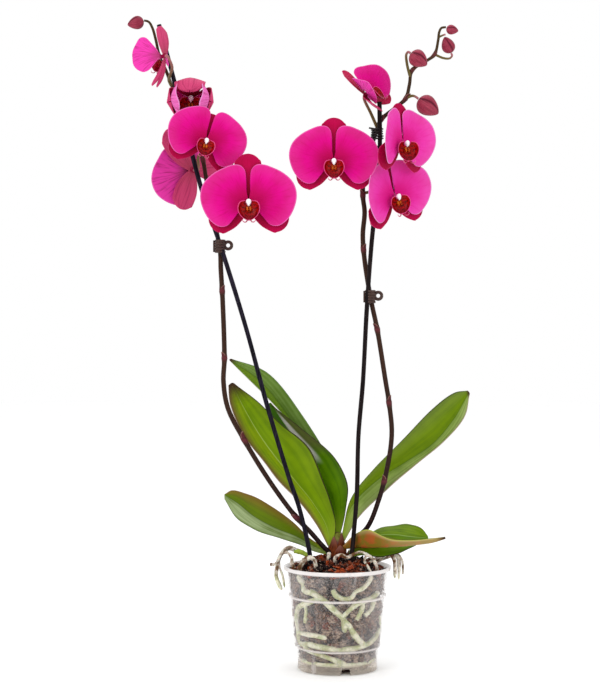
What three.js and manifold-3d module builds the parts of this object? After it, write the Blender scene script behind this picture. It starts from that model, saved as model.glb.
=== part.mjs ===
// A moth orchid with two flower spikes, growing in a clear round grower's pot.
// Millimetres, +Z up. The origin is the centre of the pot's underside, and -Y is the plant's front.
import * as THREE from 'three';
import { mergeVertices } from 'three/addons/utils/BufferGeometryUtils.js';
import Module from 'manifold-3d';

const wasm = await Module();
wasm.setup();

// ---- Driving dimensions -------------------------------------------------------------------------
const GAP = 0.3; // clearance kept between pieces that touch
const POT = {
  height: 114.5,
  rimRadius: 60,
  lipHeight: 4,
  wall: 1.2,
  floor: 1.4,
  footRadius: 44.4,
  sides: 24,
  notches: 4,
  notchHeight: 7,
  notchWidth: 12.5,
  notchTop: 8.5,
};
// Outer wall of the pot from the foot to the lip, [radius, height], with its two moulded steps.
const POT_WALL = [
  [44.4, 0], [43.9, 8], [45.8, 25], [47.6, 25.6], [50.2, 43], [52.9, 80.4], [54.4, 81.3], [56.3, 110.5],
];
const POT_INSIDE = [
  [42.7, 1.4], [42.7, 8], [44.5, 24.4], [46.4, 26.2], [49, 43], [51.7, 80.4], [55.1, 110.5],
];
const BARK = { top: 109.5, bottom: 1.7, rootChannel: 5.3, sides: 20, chips: 16, seed: 7 };
// The bark is heaped up round the crown: [radius, height].
const BARK_HEAP = [[40, 114], [26, 118.5], [13, 120.5], [0, 121]];
const LEAF_THICKNESS = 1.5;
const PETAL_THICKNESS = 0.9;
const STAKE_RADIUS = 2.5;
const SPIKE_RADIUS = 2.7;
const PEDICEL_RADIUS = 1.5;
const ROOT_RADIUS = 2.1;
const CLIP = { radius: 7.2, height: 15, ribs: 2, ribDepth: 0.9, ringRadius: 4.2, ringTube: 1.3 };

// ---- Materials ----------------------------------------------------------------------------------
const material = (color, roughness) => new THREE.MeshStandardMaterial({ color, roughness, metalness: 0 });
const materials = {
  clear: new THREE.MeshStandardMaterial({
    color: '#dcd9e2', roughness: 0.2, metalness: 0, transparent: true, opacity: 0.4,
  }),
  bark: material('#6b3a20', 0.9),
  root: material('#c4c199', 0.7),
  crown: material('#7a5a2a', 0.6),
  leaf: material('#6f9a1e', 0.4),
  stem: material('#5a4630', 0.55),
  stake: material('#17161c', 0.5),
  clip: material('#3b2f2b', 0.3),
  petal: material('#d81b7e', 0.5),
  lip: material('#a3122a', 0.45),
  bud: material('#9a4560', 0.55),
};

// ---- Small helpers ------------------------------------------------------------------------------
const vec = (p) => (p.isVector3 ? p.clone() : new THREE.Vector3(...p));
const radians = (degrees) => (degrees * Math.PI) / 180;

function seededRandom(seed) {
  let state = seed;
  return () => {
    state = (state * 1664525 + 1013904223) % 4294967296;
    return state / 4294967296;
  };
}

function geometryOf(positions, triangles) {
  const geometry = new THREE.BufferGeometry();
  geometry.setAttribute('position', new THREE.Float32BufferAttribute(positions, 3));
  geometry.setIndex(triangles);
  return geometry;
}

function toSolid(geometry) {
  const bare = geometry.clone();
  bare.deleteAttribute('normal');
  bare.deleteAttribute('uv');
  const merged = mergeVertices(bare, 1e-4);
  const vertProperties = new Float32Array(merged.attributes.position.array);
  const triVerts = new Uint32Array(merged.index.array);
  return new wasm.Manifold(new wasm.Mesh({ numProp: 3, vertProperties, triVerts }));
}

function toGeometry(solid) {
  const mesh = solid.getMesh();
  return geometryOf(Array.from(mesh.vertProperties), Array.from(mesh.triVerts));
}

// The largest connected body of a solid: a cut can leave loose scraps behind.
function largestBody(solid) {
  const bodies = solid.decompose();
  bodies.sort((a, b) => b.volume() - a.volume());
  return bodies[0];
}

function joined(solids) {
  return solids.reduce((whole, next) => whole.add(next));
}

// A smooth curve through the points, sampled at a number of even steps of its parameter.
function sampled(points, steps) {
  const curve = new THREE.CatmullRomCurve3(points.map(vec), false, 'centripetal');
  return curve.getPoints(steps);
}

// A round bar along a path, closed at both ends. The radius is a number or a function of 0..1.
function bar(path, radius, sides) {
  const radiusAt = typeof radius === 'function' ? radius : () => radius;
  const positions = [];
  const triangles = [];
  let side = null;
  path.forEach((point, i) => {
    const before = path[Math.max(i - 1, 0)];
    const after = path[Math.min(i + 1, path.length - 1)];
    const along = after.clone().sub(before).normalize();
    if (side === null) {
      const helper = Math.abs(along.z) > 0.8 ? new THREE.Vector3(0, 1, 0) : new THREE.Vector3(0, 0, 1);
      side = helper.cross(along).normalize();
    }
    side = side.sub(along.clone().multiplyScalar(side.dot(along))).normalize();
    const across = along.clone().cross(side);
    const r = radiusAt(i / (path.length - 1));
    for (let k = 0; k < sides; k += 1) {
      const angle = (2 * Math.PI * k) / sides;
      const p = point.clone()
        .addScaledVector(side, r * Math.cos(angle))
        .addScaledVector(across, r * Math.sin(angle));
      positions.push(p.x, p.y, p.z);
    }
  });
  for (let i = 0; i < path.length - 1; i += 1) {
    for (let k = 0; k < sides; k += 1) {
      const a = i * sides + k;
      const b = i * sides + ((k + 1) % sides);
      triangles.push(a, b, b + sides, a, b + sides, a + sides);
    }
  }
  const last = (path.length - 1) * sides;
  for (let k = 1; k < sides - 1; k += 1) {
    triangles.push(0, k + 1, k, last, last + k, last + k + 1);
  }
  return geometryOf(positions, triangles);
}

// A thin blade from a grid of points (rows of equal length): the grid is offset to both faces,
// both faces are split into the same triangles, and a band closes the rim.
function blade(grid, thickness) {
  const rows = grid.length;
  const columns = grid[0].length;
  const positions = [];
  const triangles = [];
  const at = (i, j) => grid[Math.min(Math.max(i, 0), rows - 1)][Math.min(Math.max(j, 0), columns - 1)];
  [0.5, -0.5].forEach((face) => {
    for (let i = 0; i < rows; i += 1) {
      for (let j = 0; j < columns; j += 1) {
        const down = at(i + 1, j).clone().sub(at(i - 1, j));
        const over = at(i, j + 1).clone().sub(at(i, j - 1));
        const normal = down.cross(over).normalize();
        const p = grid[i][j].clone().addScaledVector(normal, face * thickness);
        positions.push(p.x, p.y, p.z);
      }
    }
  });
  const count = rows * columns;
  for (let i = 0; i < rows - 1; i += 1) {
    for (let j = 0; j < columns - 1; j += 1) {
      const a = i * columns + j;
      const b = a + 1;
      const c = a + columns;
      const d = c + 1;
      triangles.push(a, c, d, a, d, b);
      triangles.push(count + a, count + d, count + c, count + a, count + b, count + d);
    }
  }
  const rim = [];
  for (let j = 0; j < columns - 1; j += 1) rim.push(j);
  for (let i = 0; i < rows - 1; i += 1) rim.push(i * columns + columns - 1);
  for (let j = columns - 1; j > 0; j -= 1) rim.push((rows - 1) * columns + j);
  for (let i = rows - 1; i > 0; i -= 1) rim.push(i * columns);
  rim.forEach((a, k) => {
    const b = rim[(k + 1) % rim.length];
    triangles.push(a, b, count + b, a, count + b, count + a);
  });
  return geometryOf(positions, triangles);
}

// A turned body from a profile of [radius, height] points that starts and ends on the axis.
function turned(profile, sides, place = [0, 0, 0]) {
  const geometry = new THREE.LatheGeometry(profile.map(([r, z]) => new THREE.Vector2(r, z)), sides);
  geometry.rotateX(Math.PI / 2);
  geometry.translate(...place);
  return geometry;
}

const plant = new THREE.Group();

function addPiece(name, shape, finish, parent = plant) {
  const geometry = shape.isBufferGeometry ? shape : toGeometry(shape);
  const mesh = new THREE.Mesh(geometry, finish);
  mesh.name = name;
  parent.add(mesh);
  return mesh;
}

// ---- Pot ----------------------------------------------------------------------------------------
function innerRadius(height) {
  const above = Math.max(1, POT_INSIDE.findIndex(([, z]) => z >= height));
  const [r0, z0] = POT_INSIDE[above - 1];
  const [r1, z1] = POT_INSIDE[above];
  return r0 + ((r1 - r0) * (height - z0)) / (z1 - z0);
}

function buildPot() {
  const lipFoot = POT.height - POT.lipHeight;
  const outside = [
    [0, 0], ...POT_WALL, [POT.rimRadius - 0.3, lipFoot + 0.2],
    [POT.rimRadius, POT.height - 0.8], [POT.rimRadius - 0.8, POT.height],
  ];
  const inside = [
    [POT.rimRadius - 2.9, POT.height], ...POT_INSIDE.slice().reverse(), [0, POT.floor],
  ];
  let pot = toSolid(turned([...outside, ...inside], POT.sides));
  for (let k = 0; k < POT.notches; k += 1) {
    const notch = new THREE.Shape();
    notch.moveTo(-POT.notchWidth / 2, -1);
    notch.lineTo(POT.notchWidth / 2, -1);
    notch.lineTo(POT.notchTop / 2, POT.notchHeight);
    notch.lineTo(-POT.notchTop / 2, POT.notchHeight);
    const cutter = new THREE.ExtrudeGeometry(notch, { depth: 12, bevelEnabled: false });
    cutter.rotateX(Math.PI / 2);
    cutter.translate(0, -POT.footRadius + 10, 0);
    cutter.rotateZ((2 * Math.PI * k) / POT.notches + radians(11));
    pot = pot.subtract(toSolid(cutter));
  }
  return pot;
}

// ---- Stakes, spikes and their ties --------------------------------------------------------------
// Each stake stands in a plain hole in the bark and leans outwards.
const STAKE_LEFT = [
  [-22, -23, 30], [-26, -21.5, 85], [-31, -20, 131], [-42.5, -20, 181], [-53, -21, 212], [-77, -20, 291],
  [-101, -18, 379],
  [-126, -16, 460], [-151, -14, 535], [-178, -12, 643], [-197, -10, 713],
];
const STAKE_RIGHT = [
  [6, -14, 30], [12, -17, 90], [16, -18, 134], [21, -15, 193], [23, -12, 260], [28, -12, 321],
  [32, -12, 398], [37, -12, 468], [46, -12, 566], [46, -12, 628],
];
const SPIKE_LEFT = [
  [-8, -7, 129], [-16, -10, 137], [-29, -12, 152], [-46, -13, 170], [-74, -14, 208], [-103, -14, 255],
  [-121, -14, 290], [-126, -14, 319], [-125, -13, 346], [-127, -12, 410], [-129, -9, 443],
  [-130, -8, 465], [-138, -7, 504], [-145, -6, 542], [-149, -5, 565], [-158, -4, 598], [-172, -4, 625],
  [-183, -4, 646], [-190, -3, 664], [-197, -2, 679], [-201, -2, 697], [-205, -2, 711],
  [-209, -2, 717.5], [-214, -2, 719],
];
const SPIKE_RIGHT = [
  [7, 3, 134], [19, 3, 144], [33, -2, 157], [46, -6, 189], [55, -8, 224], [60, -8, 262], [57, -7, 296],
  [53, -6, 321], [44, -5, 377], [37, -4, 410], [30, -3, 454], [28, -3, 482], [30, -3, 507],
  [28, -3, 526], [30, -3, 554], [37, -3, 578], [43, -4, 597], [48, -5, 609], [65, -8, 623],
  [75, -10, 632], [79, -10, 647], [82, -10, 663], [97, -8, 673], [107, -6, 681], [111, -6, 697],
  [112, -6, 705], [114.5, -6, 710], [119.5, -6, 711],
];
const SPIKE_STEPS = 25;
const SPIKE_LEFT_NODES = [170, 255, 346, 420, 504];
const SPIKE_RIGHT_NODES = [209, 296, 377, 466, 526];

const stakeSolid = (path, extra = 0) => toSolid(bar(sampled(path, 12), STAKE_RADIUS + extra, 7));

// The stem's radius thins towards its tip and swells at each node.
function spikeRadius(path, nodes, extra) {
  return (t) => {
    const z = path[Math.round(t * (path.length - 1))].z;
    const thin = SPIKE_RADIUS * (1 - 0.55 * Math.max(0, t - 0.45) / 0.55);
    const swollen = nodes.some((node) => Math.abs(node - z) < 6) ? 0.5 : 0;
    return thin + swollen + extra;
  };
}

function spikeStem(points, nodes, steps, extra = 0) {
  const path = sampled(points, steps);
  return toSolid(bar(path, spikeRadius(path, nodes, extra), 6));
}

function pedicel(points, radius = PEDICEL_RADIUS) {
  return toSolid(bar(sampled(points, points.length), radius, 4));
}

// A ribbed sleeve round the stake and the stem, with a finger ring on its right.
function buildClip(stakeAt, spikeAt, stakeHole, spikeHole, ring) {
  const middle = vec(stakeAt).add(vec(spikeAt)).multiplyScalar(0.5);
  const profile = [[0, -CLIP.height / 2]];
  for (let k = 0; k < CLIP.ribs; k += 1) {
    const z = -CLIP.height / 2 + (CLIP.height * k) / CLIP.ribs;
    const rib = CLIP.height / CLIP.ribs;
    profile.push([CLIP.radius - CLIP.ribDepth, z + 0.1 * rib], [CLIP.radius, z + 0.5 * rib]);
  }
  profile.push([CLIP.radius - CLIP.ribDepth, CLIP.height / 2], [0, CLIP.height / 2]);
  let clip = toSolid(turned(profile, 9, middle.toArray()));
  if (ring) {
    const loop = new THREE.TorusGeometry(CLIP.ringRadius, CLIP.ringTube, 5, 10);
    loop.rotateX(Math.PI / 2);
    loop.translate(middle.x + CLIP.radius + CLIP.ringRadius - 1.6, middle.y, middle.z + 1);
    clip = clip.add(toSolid(loop));
  }
  return largestBody(clip.subtract(stakeHole).subtract(spikeHole));
}

// ---- Crown, roots and bark ----------------------------------------------------------------------
const CROWN = [[0, 118.3], [8.5, 118.3], [12, 125], [11.5, 132], [9, 141], [5, 149], [0, 152]];
const ROOT_HUB = [[0, 96], [9, 98], [12.5, 105], [11.5, 113], [8.5, 118], [0, 118]];

const crownSolid = (extra) => toSolid(turned(
  CROWN.map(([r, z]) => [r === 0 ? 0 : r + extra, z > 140 ? z + extra : z]), 12,
));

// Roots above the bark, some of them over the rim: [radius, points].
const AIR_ROOTS = [
  [2.3, [[-8, -3, 110], [-22, -6, 118], [-37, -8, 129], [-47, -8, 133], [-54, -8, 135], [-61, -8, 130],
    [-65, -8, 123], [-67, -8, 114], [-68, -8, 104], [-65, -8, 95], [-61.5, -8, 88]]],
  [1.2, [[-62, -8, 128], [-64.5, -4, 120], [-64, -3, 112], [-61, -4, 104], [-58.5, -4, 90]]],
  [1.6, [[-65, -8, 121], [-70, -9, 117], [-75, -10, 117]]],
  [1.8, [[-60, -8, 130], [-56, -14, 131], [-51, -19, 126], [-50, -22, 119], [-46, -22, 112]]],
  [2.5, [[-8, -6, 106], [-14, -20, 108], [-21, -30, 112], [-24, -33, 118], [-26, -33, 125],
    [-30, -32, 127.5], [-36, -30, 125], [-41, -28, 118], [-43, -26, 112], [-43, -27, 106]]],
  [2.2, [[-4, -8, 110], [-9, -17, 115], [-10, -18, 124], [-9.5, -17, 132]]],
  [1.7, [[-2, -10, 110], [-3, -22, 119], [-3, -26, 127], [4, -27, 130], [10, -27, 127], [18, -27, 131],
    [25, -27, 133], [31, -28, 130], [29, -30, 124], [33, -32, 117], [36, -34, 110], [36, -36, 108]]],
  [1.8, [[30, -27, 131], [37, -28, 127], [42, -29, 119], [43, -28, 110]]],
  [1.9, [[9, -4, 108], [30, -8, 116], [47, -9, 126], [57, -8, 129], [62.5, -8, 123], [63.8, -8, 112],
    [63.5, -8, 101]]],
  [1.9, [[10, 0, 108], [34, -2, 116], [52, -3, 126], [61, -4, 129], [67, -4, 124], [68.5, -4, 112],
    [68, -4, 99]]],
  [1.4, [[9, 4, 108], [35, 4, 115], [56, 3, 123], [67, 2, 126], [72, 2, 120], [73, 2, 111],
    [73, 2, 104]]],
  [2.1, [[0, 9, 108], [6, 28, 114], [14, 43, 116], [19, 45, 110], [19, 46, 106]]],
  [2.1, [[-6, 7, 108], [-22, 24, 115], [-34, 36, 114], [-36, 35, 108], [-36, 36, 105]]],
];
// Roots pressed to the inside of the wall: [azimuth from the front in degrees, height].
const WALL_ROOTS = [
  [[-58, 107], [-55, 103], [-50, 99], [-49, 92], [-35, 90], [-24, 85], [-14, 79], [-4, 71], [6, 63],
    [8, 58], [9, 47]],
  [[7, 61], [14, 56], [21, 47], [32, 37], [43, 32]],
  [[6, 65], [16, 73], [24, 78], [36, 81], [51, 84], [66, 88]],
  [[-7, 95], [-3, 89], [6, 85], [17, 86], [22, 92], [33, 96], [42, 103], [46, 109]],
  [[25, 61], [32, 71], [35, 81]],
  [[38, 65], [51, 72], [54, 85]],
  [[-24, 85], [-33, 82], [-48, 77], [-66, 70], [-74, 60], [-72, 45], [-51, 43], [-33, 43], [-15, 41]],
  [[-47, 78], [-47, 65], [-50, 55]],
  [[-72, 45], [-74, 31], [-47, 32], [-21, 30], [2, 28], [23, 29], [43, 31], [70, 38], [95, 50]],
  [[-59, 32], [-51, 25], [-26, 21], [-4, 16], [13, 11]],
  [[157, 107], [160, 98], [150, 85], [130, 76], [112, 62], [95, 50], [108, 38], [130, 28], [150, 11]],
  [[-135, 106], [-130, 96], [-142, 84], [-165, 74], [-178, 60], [-160, 46], [-136, 34], [-110, 11]],
];
const RING_HEIGHT = 10.5;

function wallPoint([azimuth, z]) {
  const r = Math.min(innerRadius(z - 3), innerRadius(z + 3)) - ROOT_RADIUS - 0.4;
  return new THREE.Vector3(r * Math.sin(radians(azimuth)), -r * Math.cos(radians(azimuth)), z);
}

function ringRoot() {
  const r = innerRadius(RING_HEIGHT) - ROOT_RADIUS - 0.7;
  const ring = new THREE.TorusGeometry(r, ROOT_RADIUS, 5, 20);
  ring.translate(0, 0, RING_HEIGHT);
  return toSolid(ring);
}

function airRootSolids(extra) {
  return AIR_ROOTS.map(([radius, points]) => {
    return toSolid(bar(sampled(points, points.length - 1), radius + extra, radius < 2 ? 4 : 5));
  });
}

function buildRoots() {
  const hub = toSolid(turned(ROOT_HUB, 10));
  const wallRoots = WALL_ROOTS.map((points) => {
    const path = [];
    points.forEach((point, i) => {
      const long = i > 0 && wallPoint(point).distanceTo(wallPoint(points[i - 1])) > 16;
      if (long) path.push(wallPoint(points[i - 1].map((value, k) => (value + point[k]) / 2)));
      path.push(wallPoint(point));
    });
    return toSolid(bar(path, ROOT_RADIUS, 5));
  });
  return largestBody(joined([hub, ...airRootSolids(0), ...wallRoots, ringRoot()]));
}

// Bark chips lie on the top of the bark at seeded places and tilts.
function barkChips() {
  const random = seededRandom(BARK.seed);
  const chips = [];
  for (let k = 0; k < BARK.chips; k += 1) {
    const chip = new THREE.BoxGeometry(7 + 6 * random(), 5 + 4 * random(), 2.5 + 2 * random());
    chip.rotateX(radians(50 * (random() - 0.5)));
    chip.rotateY(radians(50 * (random() - 0.5)));
    chip.rotateZ(2 * Math.PI * random());
    const angle = k * 2.399963;
    const r = 43 * Math.sqrt((k + 4) / (BARK.chips + 4));
    const heap = 120.5 - 10 * (r / 43) ** 2;
    chip.translate(r * Math.cos(angle), r * Math.sin(angle), heap + 0.5 * random());
    chips.push(toSolid(chip));
  }
  return chips;
}

function buildBark(cutters) {
  const outline = [8, 22, 32, 43, 80.4, BARK.top - 6].map((z) => (
    [innerRadius(z - 6) - BARK.rootChannel, z]
  ));
  const profile = [
    [0, BARK.bottom], [innerRadius(2) - BARK.rootChannel - 1, BARK.bottom], ...outline,
    [innerRadius(BARK.top) - 9, BARK.top], ...BARK_HEAP,
  ];
  const core = toSolid(turned(profile, BARK.sides));
  const whole = joined([core, ...barkChips()]);
  return largestBody(cutters.reduce((solid, cutter) => solid.subtract(cutter), whole));
}

// ---- Leaves -------------------------------------------------------------------------------------
// Each leaf is held by three lines from the crown to the tip: one edge, the midrib, the other edge.
const LEAVES = [
  {
    name: 'leaf_back_left',
    edgeA: [[-5, 6, 147], [-12, 18, 196], [-34, 24, 246], [-67, 27, 288], [-100, 27, 321], [-120, 26, 341]],
    midrib: [[-2, 6, 145], [-5, 20, 180], [-24, 28, 224], [-53, 33, 276], [-88, 32, 320], [-121, 26, 343]],
    edgeB: [[2, 6, 147], [2, 18, 190], [-12, 22, 236], [-39, 24, 280], [-78, 26, 328], [-119, 26, 344]],
  },
  {
    name: 'leaf_front_left',
    edgeA: [[-11, -3, 137], [-22, -4, 158], [-40, -6, 183], [-67, -7, 211], [-85, -7, 235],
      [-106, -7, 263], [-119, -7, 295], [-121, -6, 315]],
    midrib: [[-7, -2, 136], [-12, -1, 158], [-27, 1, 184], [-48, 2, 210], [-68, 2, 234], [-88, 2, 262],
      [-105, 1, 292], [-117, -5, 318]],
    edgeB: [[-4, -4, 140], [-2, -5, 162], [-6, -7, 180], [-15, -8, 207], [-31, -8, 245],
      [-62, -7, 272], [-88, -7, 297], [-113, -6, 316]],
  },
  {
    name: 'leaf_middle_left',
    edgeA: [[-5, 3, 147], [-15, 6, 174], [-30, 9, 198], [-48, 11, 228], [-65, 12, 261], [-77, 12, 293]],
    midrib: [[-1, 3, 147], [-4, 10, 175], [-15, 14, 203], [-32, 16, 233], [-54, 16, 264], [-75, 13, 295]],
    edgeB: [[3, 2, 147], [9, 2, 174], [11, 2, 206], [-3, 5, 234], [-42, 10, 268], [-72, 12, 291]],
  },
  {
    name: 'leaf_right',
    edgeA: [[6, 3, 146], [15, 7, 188], [42, 13, 222], [75, 15, 255], [106, 13, 288], [132, 8, 307],
      [145, 5, 309]],
    midrib: [[5, 1, 145], [16, 6, 179], [45, 11, 208], [78, 13, 229], [107, 11, 249], [130, 8, 277],
      [147, 5, 307]],
    edgeB: [[8, -2, 142], [22, -3, 166], [54, -1, 198], [85, 1, 225], [119, 1, 253], [142, 2, 281],
      [147, 4, 304]],
  },
  {
    name: 'leaf_low_right_front',
    edgeA: [[6, -7, 137], [16, -10, 148], [25, -17, 155], [35, -27, 157], [48, -33, 152],
      [59, -36, 147.5], [80, -38, 147.5], [100, -38, 149], [116, -38, 151]],
    midrib: [[7, -6, 134], [18, -9, 136], [29, -17, 137], [39, -23, 138], [52, -28, 139], [65, -31, 140],
      [84, -33, 142], [103, -36, 145], [117, -38, 149.5]],
    edgeB: [[10, -3, 136], [19, -3, 146], [30, -9, 150], [41, -15, 151], [54, -20, 149], [67, -24, 147],
      [84, -29, 147], [102, -33, 149], [117, -36.5, 151]],
  },
  {
    name: 'leaf_low_right_back',
    edgeA: [[10, 6, 127], [28, 12, 142], [46, 17, 153], [65, 20, 157], [81, 20, 158], [95, 11, 154],
      [101, 2, 147]],
    midrib: [[11, 2, 125], [28, 3, 139], [46, 4, 147], [64, 4, 148], [80, 3, 146], [92, 2, 145],
      [101, 0, 145]],
    edgeB: [[12, -2, 123], [27, -9, 127], [44, -14, 126], [60, -17, 128], [76, -16, 134], [92, -8, 141],
      [100, -2, 144]],
  },
  {
    name: 'leaf_low_left',
    edgeA: [[-10, 1, 132], [-28, 1, 143], [-48, 3, 161], [-74, 2, 181], [-97, -2, 193], [-117, -8, 199],
      [-125, -12, 195]],
    midrib: [[-11, -1, 129], [-28, -2, 137], [-46, -3, 147], [-68, -5, 156], [-93, -8, 170],
      [-111, -11, 185], [-125, -13, 194]],
    edgeB: [[-12, -3, 127], [-27, -4, 131], [-44, -9, 140], [-66, -14, 147], [-92, -17, 157],
      [-112, -18, 170], [-125, -14, 190]],
  },
];

// Between the edges and the midrib each half of the blade bulges slightly.
function buildLeaf({ edgeA, midrib, edgeB }, seat) {
  const steps = 9;
  const lines = [edgeA, midrib, edgeB].map((line) => sampled(line, steps));
  const grid = lines[1].map((mid, i) => {
    const a = lines[0][i];
    const b = lines[2][i];
    const fold = a.clone().add(b).multiplyScalar(0.5).sub(mid);
    const halfA = a.clone().add(mid).multiplyScalar(0.5).addScaledVector(fold, -0.16);
    const halfB = b.clone().add(mid).multiplyScalar(0.5).addScaledVector(fold, -0.16);
    return [a, halfA, mid, halfB, b];
  });
  return largestBody(toSolid(blade(grid, LEAF_THICKNESS)).subtract(seat));
}

// ---- Flowers ------------------------------------------------------------------------------------
// A flower's own frame: it faces +Z, its upper sepal points to +Y, its back is at the origin.
// Outline of a side petal, seen from its claw: [angle above the petal's own axis, reach].
const PETAL_OUTLINE = [
  [-50, 18], [-44, 38.5], [-18, 46.5], [17, 51], [48, 46.5], [79, 42], [92, 24],
];
const PETAL_LENGTH = 55;
const SEPAL_WIDTHS = [[0, 3], [0.36, 13.2], [0.82, 14], [1, 2.4]];
const CURLED_WIDTHS = [[0, 3], [0.18, 9], [0.36, 13.2], [0.6, 15.5], [0.82, 14], [1, 2.4]];
const SEPAL_LENGTH = 49;
const CLAW = 3;
const HUB_BACK = 3;
const COLUMN_TIP = 9.5;
const COLUMN_FOOT = 0.9;
const COLUMN_RADIUS = 3;

// How far out and how far forward a point lies that far along an arc of this bend for each mm.
function bent(distance, bend) {
  const b = Math.max(bend, 1e-4);
  return [Math.sin(distance * b) / b, (1 - Math.cos(distance * b)) / b];
}

function petalGrid(side, { cup, droop, spread, bowl, size, leftPetal }) {
  const rings = cup > 60 ? [0.06, 0.4, 0.7, 1] : [0.06, 0.6, 1];
  const bend = radians(cup) / (PETAL_LENGTH * size);
  return rings.map((ring) => PETAL_OUTLINE.map(([openAngle, openReach]) => {
    const angle = radians(openAngle * spread - droop);
    const reach = openReach * ring * size * (side < 0 ? leftPetal : 1);
    const along = CLAW * size * Math.min(1, 2.4 * ring) + reach * Math.cos(angle);
    const [out, forward] = bent(along, bend);
    const up = 1 + reach * Math.sin(angle);
    const arch = 2.2 * size * (ring - 1.6 * ring * ring) + 1.1 * size * ring * Math.sin(3 * angle);
    return new THREE.Vector3((side * out) / (1 + (up / bowl) ** 2), up, 2.4 + arch + forward);
  }));
}

// A sepal points in a direction and curls forward. Its edges stand forward by its hollow, and a tight
// curl takes more rows.
function sepalGrid(direction, { curl, reach, wide, hollow }, size) {
  const length = SEPAL_LENGTH * size * reach;
  const bend = radians(curl) / length;
  const axis = new THREE.Vector3(Math.cos(radians(direction)), Math.sin(radians(direction)), 0);
  const across = new THREE.Vector3(-axis.y, axis.x, 0);
  const widths = curl > 100 ? CURLED_WIDTHS : SEPAL_WIDTHS;
  return widths.map(([t, halfWidth]) => [-1, 0, 1].map((edge) => {
    const [out, forward] = bent(t * length, bend);
    const lift = hollow * size * Math.abs(edge) * t - 3 * size * t * t;
    const turn = t * length * bend;
    return axis.clone()
      .multiplyScalar(out - lift * Math.sin(turn))
      .addScaledVector(across, edge * halfWidth * size * wide)
      .add(new THREE.Vector3(0, 0.5, forward + lift * Math.cos(turn) - 1.4));
  }));
}

function columnAndHub(size) {
  const hub = new THREE.CylinderGeometry(4.3, 3, HUB_BACK + 3.4, 6);
  hub.rotateX(Math.PI / 2);
  hub.translate(0, 0.4, (3.4 - HUB_BACK) / 2);
  const spine = [[0, COLUMN_FOOT, 0], [0, 0, COLUMN_TIP * size]].map(vec);
  const column = bar(spine, (t) => size * (COLUMN_RADIUS - t), 5);
  return [toSolid(hub), toSolid(column)];
}

function buildTepals(flower) {
  const { upper, lower, drop, size } = flower;
  const blades = [
    petalGrid(-1, flower).map((row) => row.reverse()), petalGrid(1, flower),
    sepalGrid(90, upper, size), sepalGrid(211 + drop, lower, size), sepalGrid(-31 - drop, lower, size),
  ];
  const solids = blades.map((grid) => toSolid(blade(grid, PETAL_THICKNESS)));
  return largestBody(joined([...columnAndHub(size), ...solids]));
}

// The lip, from its claw to its tip: right half of each row as [x, y, z], mirrored to the left.
// Its two side lobes stand up beside the column, and its middle lobe ends in two horns.
const LIP_ROWS = [
  [[4, 2.4, 12.5], [3.2, -1, 10], [0, -2.8, 7.8]],
  [[9.5, 0.8, 15.5], [6.5, -3, 11], [0, -5.8, 8.6]],
  [[12, -5, 17], [8.5, -6.8, 11.6], [0, -9.2, 9.6]],
  [[11.2, -11, 16.8], [7.4, -12, 12.4], [0, -13, 11.2]],
  [[8.2, -15.6, 16.4], [5, -16.4, 14], [0, -17, 13]],
  [[6.6, -19.6, 19.4], [3.6, -20.6, 17.4], [0, -20, 15.6]],
];
const LIP_AXIS = 7;

// The lip hangs under the column, close to it, and can be turned about it.
function buildLip({ size, lip, lipTurn }) {
  const scale = size * lip;
  const turn = radians(lipTurn);
  const p = ([x, y, z], side = 1) => new THREE.Vector3(side * x * scale, y * scale, z * scale - LIP_AXIS)
    .applyAxisAngle(new THREE.Vector3(0, 1, 0), turn)
    .add(new THREE.Vector3(0, 0, LIP_AXIS));
  const grid = LIP_ROWS.map(([edge, half, mid]) => [
    p(edge), p(half), p(mid), p(half, -1), p(edge, -1),
  ]);
  const seat = grid[0][2];
  seat.x = 0;
  seat.z = Math.min(seat.z, COLUMN_TIP * size - 1);
  const t = seat.z / (COLUMN_TIP * size);
  seat.y = COLUMN_FOOT * (1 - t) - size * (COLUMN_RADIUS - t) - GAP - PETAL_THICKNESS / 2;
  return toSolid(blade(grid, PETAL_THICKNESS));
}

// A sepal's facts: its curl in degrees, its length and width against the usual, and its hollow.
const sepal = (curl = 0, reach = 1, wide = 1, hollow = 1.6) => ({ curl, reach, wide, hollow });

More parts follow.
